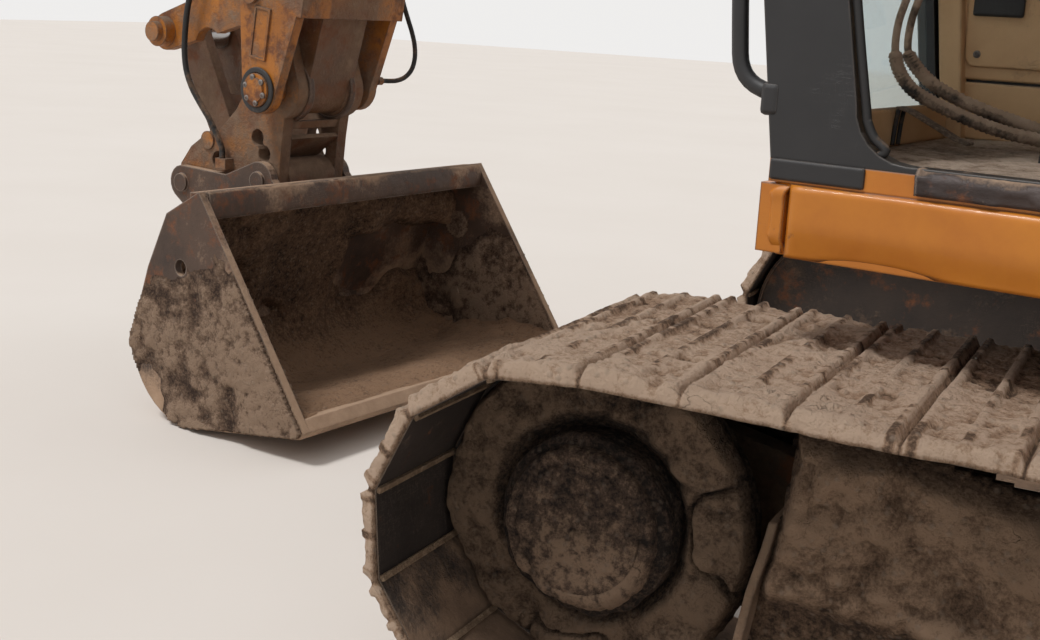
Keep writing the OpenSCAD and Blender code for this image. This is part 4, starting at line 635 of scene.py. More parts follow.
for hoseName, hose in hoses.items():
    route = onUpper(hose["route"])
    path = smoothPath(route, 8)
    wall = hose["radius"] / 1000 * (1 + 0.012 * np.sin(np.arange(len(path)) * 2.2))
    verts, faces = tubeMesh(path, wall - 0.0001, 20)
    piece = meshPiece(hoseName, verts, faces, "rubber", None)
    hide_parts(hose["node"])
    length = float(np.linalg.norm(np.diff(path, axis=0), axis=1).sum())
    if hoseName == "nearHose":
        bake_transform(piece)
    else:
        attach(piece, "stick")
    say(f"{hoseName}: {length:.3f} m")


# Repeated fittings: a shape set on each point, its z along "facing" and its x along "along"
def repeatTree(name, shape):
    tree = bpy.data.node_groups.new(name, "GeometryNodeTree")
    face = tree.interface
    face.new_socket(name="Points", in_out="INPUT", socket_type="NodeSocketGeometry")
    face.new_socket(name="Size", in_out="INPUT", socket_type="NodeSocketVector")
    face.new_socket(name="Sides", in_out="INPUT", socket_type="NodeSocketInt").default_value = 6
    face.new_socket(name="Finish", in_out="INPUT", socket_type="NodeSocketMaterial")
    face.new_socket(name="Fittings", in_out="OUTPUT", socket_type="NodeSocketGeometry")
    come, go = tree.nodes.new("NodeGroupInput"), tree.nodes.new("NodeGroupOutput")
    size = add(tree, "ShaderNodeSeparateXYZ", {0: come.outputs["Size"]})
    if shape == "bolt":
        head = add(tree, "GeometryNodeMeshCylinder", {"Vertices": come.outputs["Sides"], "Radius": size.outputs[0],
                                                      "Depth": size.outputs[2]}).outputs["Mesh"]
        washer = add(tree, "GeometryNodeMeshCylinder", {"Vertices": 16, "Radius": size.outputs[1],
                                                        "Depth": sums(tree, "MULTIPLY", size.outputs[2],
                                                                      0.5)}).outputs["Mesh"]
        one = add(tree, "GeometryNodeJoinGeometry")
        for part in (head, washer):
            tree.links.new(part, one.inputs[0])
        one = one.outputs[0]
    else:
        one = add(tree, "GeometryNodeMeshCube", {"Size": come.outputs["Size"]}).outputs["Mesh"]
    facing = add(tree, "GeometryNodeInputNamedAttribute", {"Name": "facing"}, data_type="FLOAT_VECTOR").outputs[0]
    along = add(tree, "GeometryNodeInputNamedAttribute", {"Name": "along"}, data_type="FLOAT_VECTOR").outputs[0]
    upright = add(tree, "FunctionNodeAlignRotationToVector", {"Vector": facing}, axis="Z").outputs[0]
    turned = add(tree, "FunctionNodeAlignRotationToVector", {"Rotation": upright, "Vector": along}, axis="X",
                 pivot_axis="Z").outputs[0]
    spread = add(tree, "GeometryNodeInstanceOnPoints", {"Points": come.outputs["Points"], "Instance": one,
                                                        "Rotation": turned})
    real = add(tree, "GeometryNodeRealizeInstances", {"Geometry": spread.outputs[0]})
    last = add(tree, "GeometryNodeSetMaterial", {"Geometry": real.outputs[0], "Material": come.outputs["Finish"]})
    tree.links.new(last.outputs[0], go.inputs[0])
    return tree


repeatTrees = dict(bolt=repeatTree("setBolts", "bolt"), bar=repeatTree("setBars", "bar"))


def repeated(name, kind, points, facing, along, size, look, body, sides=6):
    points = np.asarray(points, float)
    source = bpy.data.meshes.new(name + "Points")
    source.from_pydata(points.tolist(), [], [])
    for label, value in (("facing", facing), ("along", along)):
        value = np.broadcast_to(np.asarray(value, float), points.shape).astype(np.float32)
        source.attributes.new(label, "FLOAT_VECTOR", "POINT").data.foreach_set("vector", value.ravel())
    carrier = bpy.data.objects.new(name + "Points", source)
    scene.collection.objects.link(carrier)
    tool = carrier.modifiers.new("fittings", "NODES")
    tree = repeatTrees[kind]
    named = {item.name: item.identifier for item in tree.interface.items_tree if item.in_out == "INPUT"}
    tool.node_group = tree
    tool[named["Size"]] = tuple(size)
    tool[named["Sides"]] = sides
    tool[named["Finish"]] = looks[look]
    bpy.context.view_layer.update()
    shown = carrier.evaluated_get(bpy.context.evaluated_depsgraph_get())
    mesh = bpy.data.meshes.new_from_object(shown)
    bpy.data.objects.remove(carrier)
    mesh.name = name
    obj = bpy.data.objects.new(name, mesh)
    scene.collection.objects.link(obj)
    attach(obj, body)
    return obj


# Tracks: mud caked between the grousers, lumps hanging over the shoes' ends
tread = dict(sprocketX=1830, sprocketZ=480, idlerX=-1830, idlerZ=430, wrap=360, gauge=2390.0, shoeWidth=800,
             shoeT=10, barH=25, pitch=190, seamX=1560, fine=35, coarse=11)


def shoeSeams():
    s, i, r = np.array([tread["sprocketX"], tread["sprocketZ"]]), np.array([tread["idlerX"],
                                                                            tread["idlerZ"]]), tread["wrap"]
    run = tread["shoeT"] + tread["barH"]
    frontRun, backRun = np.array([s[0] - 500, run]), np.array([i[0] + 340, run])

    def tangent(c, g, side):
        return math.degrees(math.atan2(g[1] - c[1], g[0] - c[0])) + side * math.degrees(math.acos(r / np.hypot(*(g - c))))

    def way(a):
        return np.array([math.cos(math.radians(a)), math.sin(math.radians(a))])
    frontEnd = tangent(s, frontRun, 1)
    frontEnd = frontEnd - 360 if frontEnd > 0 else frontEnd
    backTurn = tangent(i, backRun, -1)
    leave, meet = s + r * way(frontEnd), i + r * way(backTurn)
    backTop, frontTop = i + [0, r], s + [0, r]
    s1 = math.radians(90 - frontEnd) * r
    s2 = s1 + np.hypot(*(leave - frontRun))
    s3 = s2 + np.hypot(*(frontRun - backRun))
    s4 = s3 + np.hypot(*(backRun - meet))
    s5 = s4 + math.radians(backTurn + 270) * r
    total = s5 + np.hypot(*(frontTop - backTop))
    count = round(total / tread["pitch"])
    step = total / count
    phase = (total - (s[0] - tread["seamX"])) % step

    def at(d):
        if d < s1:
            return s + r * way(90 - math.degrees(d / r))
        for lo, hi, a, b in ((s1, s2, leave, frontRun), (s2, s3, frontRun, backRun), (s3, s4, backRun, meet)):
            if d < hi:
                return a + (b - a) * (d - lo) / (hi - lo)
        if d < s5:
            return i + r * way(backTurn - math.degrees((d - s4) / r))
        return backTop + (frontTop - backTop) * (d - s5) / (total - s5)
    return np.array([at((phase + k * step) % total) for k in range(count)])


seams = shoeSeams()
shoeTotal = len(seams)
shoeMid = (seams + np.roll(seams, -1, 0)) / 2


def treadCrust(name, shoes, middleY, steps, rows, seed):
    base, out, t, ends = [], [], [], []
    for k in shoes:
        p, q = seams[k], seams[(k + 1) % shoeTotal]
        length = np.hypot(*(q - p))
        d = (q - p) / length
        n = np.array([-d[1], d[0]])
        s = np.linspace(0.8, length - 0.8, steps)
        base.append(p + s[:, None] * d)
        out.append(np.broadcast_to(n, (steps, 2)))
        t.append(s)
        ends.append(np.full(steps, length))
    base, out, t, ends = (np.concatenate(x) for x in (base, out, t, ends))
    half = tread["shoeWidth"] / 2 - 1
    y = np.linspace(-half, half, rows)
    tilt = np.zeros(rows)
    y = np.concatenate([[-half] * 4, y, [half] * 4])
    tilt = np.concatenate([[-1.0, -1.0, -0.7, -0.35], tilt, [0.35, 0.7, 1.0, 1.0]])
    drop = np.concatenate([[9, 0, 0, 0], np.zeros(rows), [0, 0, 0, 9]])
    m, n = len(t), len(y)
    spot = np.zeros((m, n, 3))
    spot[..., 0], spot[..., 1], spot[..., 2] = base[:, 0, None], middleY + y[None], base[:, 1, None]
    flat = np.zeros((m, n, 3))
    flat[..., 0], flat[..., 2] = out[:, 0, None], out[:, 1, None]
    world = spot / 1000 + [0, 0, seed * 3.0]
    bars = np.zeros((m, 1))
    for c in (3 + 14 + t * 0, ends / 2, ends - 17):
        bars = np.maximum(bars, 26.8 * (1 - ramp(np.abs(t - c), 5, 17))[:, None])
    edge = np.minimum(t, ends - t)[:, None]
    patch = layered(world, 0.5, 3, seed + 9)
    fill = (3 + 24 * layered(world, 0.13, 5, seed, 0.7)) * (0.3 + 1.0 * patch) + 14 * clods(world, 0.04, seed + 3) * patch
    fill += 6 * clods(world, 0.021, seed + 4)
    fill -= 9 * ramp(layered(world, 0.06, 3, seed + 41), 0.62, 0.85)
    fill = fill * (0.2 + 0.8 * ramp(edge, 0, 11))
    chips = 3.4 * (layered(world, 0.035, 3, seed + 5, 0.8) - 0.4)
    high = np.maximum(bars + np.where(bars > 1, chips, 0), fill + chips)
    blur = np.minimum(1, np.abs(bars - fill) / 8)
    high = high + 1.5 * (1 - blur)
    side = np.abs(tilt)[None]
    hang = 3 + 9 * layered(world, 0.06, 4, seed + 21) + 12 * clods(world, 0.05,
                                                                   seed + 23) * ramp(layered(world, 0.3, 3, seed + 31),
                                                                                     0.45, 0.8)
    lift = high * np.cos(side * np.pi / 2) + 1
    push = np.sin(side * np.pi / 2) * hang
    up = tread["shoeT"] - drop[None]
    top = spot + flat * (up + lift)[..., None]
    top[..., 1] += np.sign(tilt)[None] * push
    top[..., 1] = np.clip(top[..., 1], -1594, 1640)
    top[..., 2] = np.maximum(top[..., 2], 0.6)
    normal = flat * np.cos(side * np.pi / 2)[..., None]
    normal[..., 1] += (np.sign(tilt) * np.sin(side[0] * np.pi / 2))[None]
    back = (lift * np.cos(side * np.pi / 2) + push * side + 4) / 1000
    # tone: lighter where the mud is thick, darker where it is thin (partly painted shade in the hollows); darker where
    # the bars' steel shows through
    tone = np.clip(high / 30, 0, 1) * 0.7 + 0.3 * patch
    tone = tone * (1 - 0.85 * ramp(bars - fill, -2, 9) * ramp(layered(world, 0.1, 4, seed + 51), 0.36, 0.56))
    # painted shade: darker in the seam grooves near each shoe's ends and on the outermost row, the underside of the
    # overhanging mud
    tone = tone * (0.35 + 0.65 * ramp(edge, 0, 6)) * (1 - 0.35 * side * (drop[None] > 0))
    return crust(name, onTracks(top), normal, np.zeros((m, n)), "treadMud", "tracks", back=back, toneAndShade=tone)


nearShoes = [k for k in range(shoeTotal) if (shoeMid[k][1] > 700 and shoeMid[k][0] > 250) or (shoeMid[k][0] > 1650 and shoeMid[k][1] > 150)]
first = next(k for k in nearShoes if (k - 1) % shoeTotal not in nearShoes)
nearRun = [(first + k) % shoeTotal for k in range(len(nearShoes))]
farRun = [(first + len(nearShoes) + k) % shoeTotal for k in range(shoeTotal - len(nearShoes))]
treadCrust("leftTreadMudNear", nearRun, tread["gauge"] / 2, tread["fine"], 132, 1)
treadCrust("leftTreadMudRest", farRun, tread["gauge"] / 2, tread["coarse"], 40, 2)
treadCrust("rightTreadMudFront", nearRun, -tread["gauge"] / 2, 16, 48, 3)
treadCrust("rightTreadMudRest", farRun, -tread["gauge"] / 2, tread["coarse"], 34, 4)
lipPoints, lipFacing, lipAlong = [], [], []
for k in range(shoeTotal):
    if seams[k][0] > 1500 and seams[k][1] < 830:
        n = shoeMid[k] - shoeMid[k - 1]
        n = np.array([-n[1], n[0]]) / np.hypot(*n)
        for middleY in (-tread["gauge"] / 2, tread["gauge"] / 2):
            for y in (-246, 246):
                lipPoints.append([seams[k][0] - n[0] * 3, middleY + y, seams[k][1] - n[1] * 3])
                lipFacing.append([-n[0], 0, -n[1]])
                lipAlong.append([0, 1, 0])
repeated("shoeLips", "bar", onTracks(lipPoints), lipFacing, lipAlong, (0.300, 0.013, 0.012), "paleMud", "tracks")
say("tracks")


# Final drives: stepped cover under dried mud, and the mud packed between hub and track
drive = dict(x=1830, z=480, y=1195, rings=62, turns=220)


def turnedSkin(name, profile, look, side, seed, lumps, fine, shadow, back=0.006):
    # profile: (radius, distance out) in mm, from the axis outwards; a crust turned round the sprocket's axis
    profile = np.array(profile, float)
    step = np.concatenate([[0], np.cumsum(np.hypot(*np.diff(profile, axis=0).T))])
    s = np.linspace(0, step[-1], fine)
    r, w = np.interp(s, step, profile[:, 0]), np.interp(s, step, profile[:, 1])
    dr, dw = np.gradient(r), np.gradient(w)
    size = np.hypot(dr, dw)
    nr, nw = dw / -size, dr / size
    a = np.linspace(0, 2 * np.pi, drive["turns"], endpoint=False)
    ca, sa = np.cos(a)[:, None], np.sin(a)[:, None]
    base = np.stack([drive["x"] + r * ca, side * (drive["y"] + w) + 0 * ca, drive["z"] + r * sa], -1)
    normal = np.stack([nr * ca, side * nw + 0 * ca, nr * sa], -1)
    p = base / 1000 + [0, 0, seed]
    height = lumps(p, r, a)
    shade = np.interp(r, *shadow)[None]
    base[..., 1] = np.clip(base[..., 1], -1594, 1640)
    return crust(name, onTracks(base), normal, height / 1000, look, "tracks", back=back, loop=True,
                 toneAndShade=(height - height.min()) / np.ptp(height) * shade)


def coverLumps(p, r, a):
    thin = 3.0 + 12 * layered(p, 0.06, 5, 11, 0.7) + 11 * clods(p, 0.04, 12) * ramp(layered(p, 0.2, 3, 13), 0.35, 0.7)
    low = ramp(-np.sin(a)[:, None], -0.3, 0.9)
    return thin * (0.6 + 0.5 * low) + 3 * low


def ringLumps(p, r, a):
    big = 40 * layered(p, 0.16, 4, 31, 0.65) + 46 * clods(p, 0.1, 33) * layered(p, 0.3, 2, 35) + 18 * clods(p, 0.042, 34)
    lane = ramp(r, 184, 240) * (1 - ramp(r, 318, 356))
    crack = ramp(np.abs(layered(p, 0.22, 3, 39) - 0.5), 0.0, 0.035)
    return -14 + (6 + big * (0.35 + 0.65 * crack)) * lane[None] + 8 * layered(p, 0.03, 3, 37)


for side, tag, seed in ((1, "left", 0.0), (-1, "right", 5.0)):
    turnedSkin(f"{tag}DriveCoverMud", [(0.5, 190), (126, 190), (132, 184), (154, 184), (160, 160), (174, 160), (179, 155),
                                       (179, 70)], "coverMud", side, seed, coverLumps, drive["rings"],
                                       ([0, 158, 168], [1, 1, 0.0]))
    turnedSkin(f"{tag}DriveRingMud", [(180, 84), (205, 96), (260, 98), (310, 96), (342, 90), (356, 66)], "driveMud", side,
               seed + 1,
               ringLumps, 46, ([196, 232, 360], [0.0, 0.9, 1]), back=0.05)
say("final drives")


# Track frames under packed mud
packed = dict(backX=-1290, frontX=1527, lowZ=128, face=170)


def framePack(name, side, stepX, stepZ, seed):
    x = np.linspace(packed["backX"], packed["frontX"], stepX)
    z = np.linspace(packed["lowZ"], 800, stepZ)
    gx, gz = np.meshgrid(x, z, indexing="ij")
    p = np.stack([gx, 0 * gx + seed * 900, gz], -1) / 1000
    top = 724 + 56 * ramp(gx, 700, 1350) + 24 * (layered(p, 0.25, 3, seed + 1) - 0.5)
    front = np.interp(gz, flangeZ, flangeX) - 6 - 8 * layered(p, 0.1, 3, seed + 2)
    keep = (gz < top) & (gx < front) & (gz > 136 + 40 * ramp(-gx, 1150, 1290) + 60 * ramp(gx, 1250, 1420))
    inset = np.minimum(top - gz, (front - gx) * 1.3)
    high = 4 + 64 * layered(p, 0.34, 5, seed + 3, 0.66) + 52 * clods(p, 0.12,
                                                                     seed + 4) * ramp(layered(p, 0.4, 2, seed + 5), 0.3,
                                                                                      0.7)
    high += 34 * clods(p, 0.05, seed + 6) * ramp(layered(p, 0.22, 2, seed + 7), 0.3,
                                                 0.65) + 20 * layered(p, 0.035, 3, seed + 8, 0.7)
    bare = ramp(-gz, -470, -400) * ramp(gx + 80 * layered(p, 0.2, 3, seed + 9), 1010, 1120)  # scraped side below the shelf
    high = high * (1 - 0.8 * bare)
    shelf = 16 * ramp(gz, 520, 600) * (1 - ramp(gz, 610, 690))
    high = (high + shelf) * (0.35 + 0.65 * ramp(inset, 0, 45)) + 4
    base = np.stack([gx, side * (tread["gauge"] / 2 + packed["face"]) + 0 * gx, gz], -1)
    back = 0.004 + 0.06 * ramp(gx, 1400, 1430)
    normal = np.zeros_like(base)
    normal[..., 1] = side
    # its tone: darker where the mud is thin, painted shade in the hollows and along the top edge under the shoes;
    # darker too where the side is scraped bare
    return crust(name, onTracks(base), normal, high / 1000, "frameMud", "tracks", keep=keep, back=back,
                 toneAndShade=np.clip(high / 110, 0, 1) * (1 - 0.8 * bare))


flangeZ = np.array([150, 230, 300, 350, 455, 552, 645, 730, 800])
flangeX = np.array([1497, 1490, 1481, 1474, 1458, 1435, 1419, 1408, 1404])
framePack("leftFrameMud", 1, 400, 96, 40)
framePack("rightFrameMud", -1, 220, 52, 60)
for side, tag in ((1, "left"), (-1, "right")):
    arc = [(float(np.interp(z, flangeZ, flangeX)), z) for z in np.linspace(200, 600, 14)]
    outline = arc + [(x - 18, z) for x, z in arc[::-1]]
    lowY, highY = sorted((side * 1300, side * 1428))
    slabPiece(f"{tag}FrameFlange", outline, lowY, highY, onTracks, "framePaint", "tracks", 0.004)
guard = dict(radius=336, faceY=884, thick=12)
for side, tag in ((1, "left"), (-1, "right")):
    ring = [(1830 + guard["radius"] * math.cos(t), 480 + guard["radius"] * math.sin(t)) for t in np.radians(np.linspace(-80, 80, 36))]
    outline = ring + [(1700, 812), (1100, 760), (1100, 220), (1640, 160)]
    lowY, highY = sorted((side * guard["faceY"], side * (guard["faceY"] - guard["thick"])))
    slabPiece(f"{tag}MotorGuard", outline, lowY, highY, onTracks, "guardSteel", "tracks", 0.003)
    lowY, highY = sorted((side * (guard["faceY"] - guard["thick"] - 14), side * (guard["faceY"] + 60)))
    slabPiece(f"{tag}MotorGuardRim", ring + [(1830 + (x - 1830) * 0.965, 480 + (z - 480) * 0.965) for x, z in ring[::-1]],
              lowY, highY,
              onTracks, "guardSteel", "tracks", 0.003)
    lowY, highY = sorted((side * guard["faceY"], side * 1030))
    blockPiece(f"{tag}GuardBracket", (1400, 1500), (lowY, highY), (300, 640), onTracks, "guardSteel", "tracks", 0.004)
say("track frames")


# Bucket: soil left inside, crusts on the plates; places from the nose pin, in the arm's millimetres
bucket = dict(noseX=3955, noseZ=1152, half=752, outer=780, heelR=290, shell=22)


def fromNose(u, v):
    return bucket["noseX"] + u, bucket["noseZ"] + v


def shellLine(count):
    # the shell's inner face, from the cutting edge round the heel to the lip
    r = bucket["heelR"] - bucket["shell"]
    cx, cz = -185, -bucket["noseZ"] + bucket["heelR"]
    pts = [(-735, -1043), (-558, -1051), (-372, -1090)]
    pts += [(cx + r * math.cos(t), cz + r * math.sin(t)) for t in np.radians(np.linspace(-92, 0, 11))]
    pts += [(-8, -606), (-106, -415), (-178, -372)]
    pts = np.array(pts, float)
    step = np.concatenate([[0], np.cumsum(np.hypot(*np.diff(pts, axis=0).T))])
    s = np.linspace(0, step[-1], count)
    u, v = np.interp(s, step, pts[:, 0]), np.interp(s, step, pts[:, 1])
    du, dv = np.gradient(u), np.gradient(v)
    size = np.hypot(du, dv)
    return u, v, -dv / size, du / size, s / step[-1]


u, v, nu, nv, share = shellLine(150)
y = np.linspace(-bucket["half"] + 1, bucket["half"] - 1, 176)
x, z = fromNose(u, v)
base = np.stack(np.broadcast_arrays(x[:, None], y[None], z[:, None]), -1)
normal = turnUpper(np.stack(np.broadcast_arrays(nu[:, None], 0 * y[None], nv[:, None]), -1))
p = base / 1000
share = share[:, None]
side = ramp(np.abs(y)[None], bucket["half"] - 170, bucket["half"])
soil = 4 + 28 * layered(p, 0.3, 5, 71, 0.62) + 30 * clods(p, 0.1, 72) * ramp(layered(p, 0.4, 2, 73), 0.35,
                                                                             0.8) + 9 * layered(p, 0.04, 3, 74)
heap = 34 * ramp(share, 0.0, 0.16) * (1 - ramp(share, 0.42, 0.6)) * (0.5 + layered(p, 0.5, 3, 75))
ledge = 60 * ramp(share, 0.8, 0.86) * (1 - ramp(share, 0.87, 0.99)) * ramp(layered(p, 0.4, 3, 76), 0.35, 0.7)
bare = ramp(layered(p, 0.5, 4, 77), 0.42, 0.6) * ramp(share, 0.5, 0.66)
height = (soil + heap + 55 * side * layered(p, 0.2, 3, 78)) * (1 - 0.95 * bare) + ledge - 9 * bare
height *= ramp(share, -0.01, 0.03) * (1 - 0.7 * ramp(share, 0.97, 1.0))
crust("bucketSoil", onArm(base), normal, height / 1000, "bucketMud", "bucket", back=0.014,
      toneAndShade=np.clip(0.9 - 0.75 * ramp(share, 0.35, 0.75) + 0.25 * height / 60, 0, 1))


def insideOutline(px, pz, outline):
    inside = np.zeros(px.shape, bool)
    n = len(outline)
    for k in range(n):
        (x1, z1), (x2, z2) = outline[k], outline[(k + 1) % n]
        cross = (z1 > pz) != (z2 > pz)
        with np.errstate(divide="ignore", invalid="ignore"):
            at = (x2 - x1) * (pz - z1) / (z2 - z1) + x1
        inside ^= cross & (px < at)
    return inside


plateLine = [fromNose(-752, -1041), fromNose(-738, -1064)] + [
    fromNose(-185 + 288 * math.cos(t), -1152 + 290 + 288 * math.sin(t)) for t in np.radians(np.linspace(-90, 0, 14))] + [
    fromNose(8, -602), fromNose(-92, -403), fromNose(-253, -313)]
for tag, faceY, out, cells in (("nearOuter", bucket["outer"], 1, 150), ("nearInner", bucket["half"], -1, 84),
                               ("farOuter", -bucket["outer"], -1, 90),
                               ("farInner", -bucket["half"], 1, 120)):
    gx, gz = np.meshgrid(np.linspace(bucket["noseX"] - 760, bucket["noseX"] + 110, cells),
                         np.linspace(4, bucket["noseZ"] - 300, cells - 4), indexing="ij")
    hole = np.hypot(gx - bucket["noseX"] + 158, gz - bucket["noseZ"] + 582)
    keep = insideOutline(gx, gz, plateLine) & ((hole > 34) | tag.startswith("farI"))
    base = np.stack([gx, faceY + 0 * gx, gz], -1)
    p = base / 1000
    low = 1 - ramp(gz, 150, 640)
    patchy = ramp(layered(p, 0.45, 4, 80) + 0.35 * low, 0.5, 0.75)
    height = -4 + patchy * (6 + 13 * layered(p, 0.09, 5, 81, 0.7) + 9 * clods(p, 0.05,
                                                                              82) * low) + 2.5 * layered(p, 0.03, 3, 83)
    height = np.where(hole < 60, np.minimum(height, 3) if tag != "farInner" else np.maximum(height, 7), height)
    normal = turnUpper(np.stack([0 * gx, out + 0 * gx, 0 * gx], -1))
    crust(f"bucketCrust{tag[0].upper()}{tag[1:]}", onArm(base), normal, height / 1000, "crustMud", "bucket", keep=keep,
          back=0.006, toneAndShade=np.clip(height / 16, 0, 1))
lipY = np.linspace(-750, 750, 210)
lipS = np.linspace(0, 1, 13)
lipX, lipZ = fromNose(-271 + 10 * lipS, -404 + 93 * lipS)
base = np.stack(np.broadcast_arrays(lipX[:, None], lipY[None], lipZ[:, None]), -1)
p = base / 1000
height = -3 + 13 * np.sin(np.pi * lipS)[:, None] ** 0.6 * (0.55 + 0.6 * layered(p, 0.12, 4,
                                                                                90)) + 4 * layered(p, 0.025, 4, 91)
normal = turnUpper(np.broadcast_to([-1.0, 0, 0.1], base.shape))
crust("bucketLipCrust", onArm(base), normal, height / 1000, "rustSteel", "bucket", back=0.006)
say("bucket")


# Arm end: collars and bolts
armEnd = dict(nose=(3955, 1152))


def collar(name, centre, profile, look, body, turns=40):
    # profile: (radius, y) pairs of a closed ring or disc turned about the arm's y, centre in x and z
    r, w = np.array(profile, float).T
    a = np.linspace(0, 2 * np.pi, turns, endpoint=False)[:, None]
    pts = np.stack([centre[0] + r * np.cos(a), w + 0 * a, centre[1] + r * np.sin(a)], -1).reshape(-1, 3)
    n = len(profile)
    faces = [[k * n + j, k * n + (j + 1) % n, (k + 1) % turns * n + (j + 1) % n, (k + 1) % turns * n + j]
             for k in range(turns) for j in range(n)]
    area = sum(r[k] * w[(k + 1) % n] - r[(k + 1) % n] * w[k] for k in range(n))
    if area > 0:
        faces = [f[::-1] for f in faces]
    obj = meshPiece(name, onArm(pts), faces, look, body, smooth=False)
    b = obj.modifiers.new("edges", "BEVEL")
    b.width, b.segments, b.limit_method, b.angle_limit = 0.002, 2, "ANGLE", 0.5
    return obj


def ringProfile(inner, outer, low, high):
    return [(inner, low), (outer - 3, low), (outer, low + 3), (outer, high - 3), (outer - 3, high), (inner, high)]


for side, tag in ((1, "Near"), (-1, "Far")):
    lowY, highY = sorted((side * 276, side * 287))
    collar(f"noseRing{tag}", armEnd["nose"], ringProfile(64, 84, lowY, highY), "darkTrim", "stick")
    lowY, highY = sorted((side * 99, side * 124))
    collar(f"lugRing{tag}", armEnd["nose"], ringProfile(109, 122, lowY, highY), "rustSteel", "stick")
rings, ringFacing = [], []
for side in (1, -1):
    for t in np.radians([20, 80, 140, 200, 260, 320]):
        rings.append([3955 + 48 * math.cos(t), side * 297, 1152 + 48 * math.sin(t)])
        ringFacing.append([0, side, 0])
repeated("nosePinBolts", "bolt", onArm(rings), turnUpper(ringFacing), [1, 0, 0], (0.008, 0.011, 0.012), "wornSteel",
         "stick")
say("arm end")


# Cab: trim, floor soil, hoses, pedals; in the upper structure's millimetres
cab = dict(wallY=466, floorZ=1240)
blockPiece("rightPanelLow", (-340, 1338), (cab["wallY"], 482), (1246, 1383), onUpper, "cabBeige", "upper", 0.004)
blockPiece("rightPanelHigh", (-340, 1338), (cab["wallY"], 480), (1389, 1794), onUpper, "cabBeige", "upper", 0.006)
slabPiece("rightPanelRaised", [(900, 1420), (1296, 1420), (1310, 1440), (1330, 1760), (900, 1760)], 479, 488, onUpper,
          "cabBeige", "upper", 0.005)
slabPiece("frontPostTrim", [(1285, 1242), (1338, 1242), (1412, 1775), (1388, 2148), (1168, 2870), (1110, 2870),
                            (1332, 2140),
                            (1350, 1775)], cab["wallY"], 512, onUpper, "cabBeige", "upper", 0.006)
blockPiece("panelRecess", (1180, 1300), (486, 500), (1540, 1640), onUpper, "darkTrim", "upper", 0.006)
blockPiece("frontLowPanel", (1322, 1341), (520, 1300), (1242, 1330), onUpper, "cabBeige", "upper", 0.008)
repeated("panelScrews", "bolt", onUpper([[x, 489, z] for x in (930, 1110, 1280) for z in (1450, 1735)] +
                                        [[x, 483, 1400] for x in (-200, 200, 600)]), turnUpper([0, 1, 0]), [1, 0, 0],
         (0.007, 0.009, 0.005), "wornSteel", "upper", sides=12)
gx, gy = np.meshgrid(np.linspace(432, 1318, 110), np.linspace(484, 1344, 106), indexing="ij")
base = np.stack([gx, gy, cab["floorZ"] + 0 * gx], -1)
p = base / 1000
ribs = ramp(np.cos((gx + 0.19 * gy) * 2 * np.pi / 118), 0.86, 0.96) * 6
height = 1.5 + 7 * layered(p, 0.2, 4, 101) + 6 * clods(p, 0.04, 102) * ramp(layered(p, 0.3, 3, 103), 0.45,
                                                                            0.7) + 2 * layered(p, 0.02, 3, 104)
height = np.maximum(height, ribs * (0.8 + 0.3 * layered(p, 0.1, 3, 105)))
height *= ramp(1346 - gy, 0, 22)
normal = np.broadcast_to([0.0, 0, 1.0], base.shape)
crust("cabFloorSoil", onUpper(base), normal, height / 1000, "floorMud", "upper", back=0.003)
stepX = np.linspace(436, 1092, 150)
stepS = np.linspace(0, 1, 14)
stepY = np.interp(stepS, [0, 0.35, 0.6, 1], [1364, 1367, 1360, 1332])
stepZ = np.interp(stepS, [0, 0.35, 0.6, 1], [1202, 1232, 1243, 1243])
base = np.stack(np.broadcast_arrays(stepX[:, None], stepY[None], stepZ[None]), -1)
dy, dz = np.gradient(stepY), np.gradient(stepZ)
size = np.hypot(dy, dz)
normal = turnUpper(np.stack(np.broadcast_arrays(0 * stepX[:, None], (dz / size)[None], (-dy / size)[None]), -1))
p = base / 1000
height = 3 + 5 * layered(p, 0.09, 5, 110, 0.7) + 4 * ramp(layered(p * [1, 1, 4], 0.05, 3, 112), 0.55, 0.7)
crust("doorStepEdge", onUpper(base), normal, height / 1000, "sillSteel", "upper", back=0.004)
slabPiece("pillarFoot", [(1192, 1199), (1388, 1199), (1388, 1241), (1192, 1241)], 1354, 1367,
          onUpper, "blackPaint", "upper", 0.005)
doorEdge = [(1180, 1262)] + [
    (1115 + 94 * math.cos(t), 1358 + 94 * math.sin(t)) for t in np.radians([-60, -40, -20, -5])] + [
    (1240, 1500), (1278, 1700), (1293, 1780), (1268, 2150), (1150, 2500), (1046, 2838), (760, 2842), (445, 2842),
    (438, 2200),
    (438, 1500), (440, 1262)]
doorEdge = [(x, 1347, z) for x, z in doorEdge]
tubePiece("doorSeal", doorEdge, 9, onUpper, "rubber", "upper", per=4, sides=10)
cabHoses = dict(
    cabHoseNear=dict(r=8.5, points=[(1236, 600, 1800), (1282, 700, 1780), (1322, 800, 1690), (1338, 850, 1563),
                                    (1350, 850, 1509),
                                    (1350, 850, 1454), (1340, 840, 1411), (1312, 830, 1373), (1272, 810, 1347),
                                    (1219, 790, 1324),
                                    (1155, 770, 1301), (1100, 750, 1287), (1033, 730, 1275), (980, 720, 1252)]),
    cabHoseFar=dict(r=8.5, points=[(1236, 560, 1790), (1282, 640, 1760), (1318, 730, 1680), (1335, 780, 1566),
                                   (1347, 780, 1510),
                                   (1347, 780, 1459), (1332, 780, 1429), (1295, 770, 1391), (1245, 756, 1361),
                                   (1168, 730, 1330),
                                   (1105, 705, 1310), (1043, 690, 1290), (985, 675, 1252)]))
for hoseName, hose in cabHoses.items():
    path = smoothPath(hose["points"], 14)
    sleeve = ramp(-path[:, 2], -1452, -1446)
    wall = hose["r"] + sleeve * (6.5 + 1.8 * np.sin(np.arange(len(path)) * 2.4))
    verts, faces = tubeMesh(onUpper(path), wall / 1000, 14)
    meshPiece(hoseName, verts, faces, "dustyRubber", "upper")
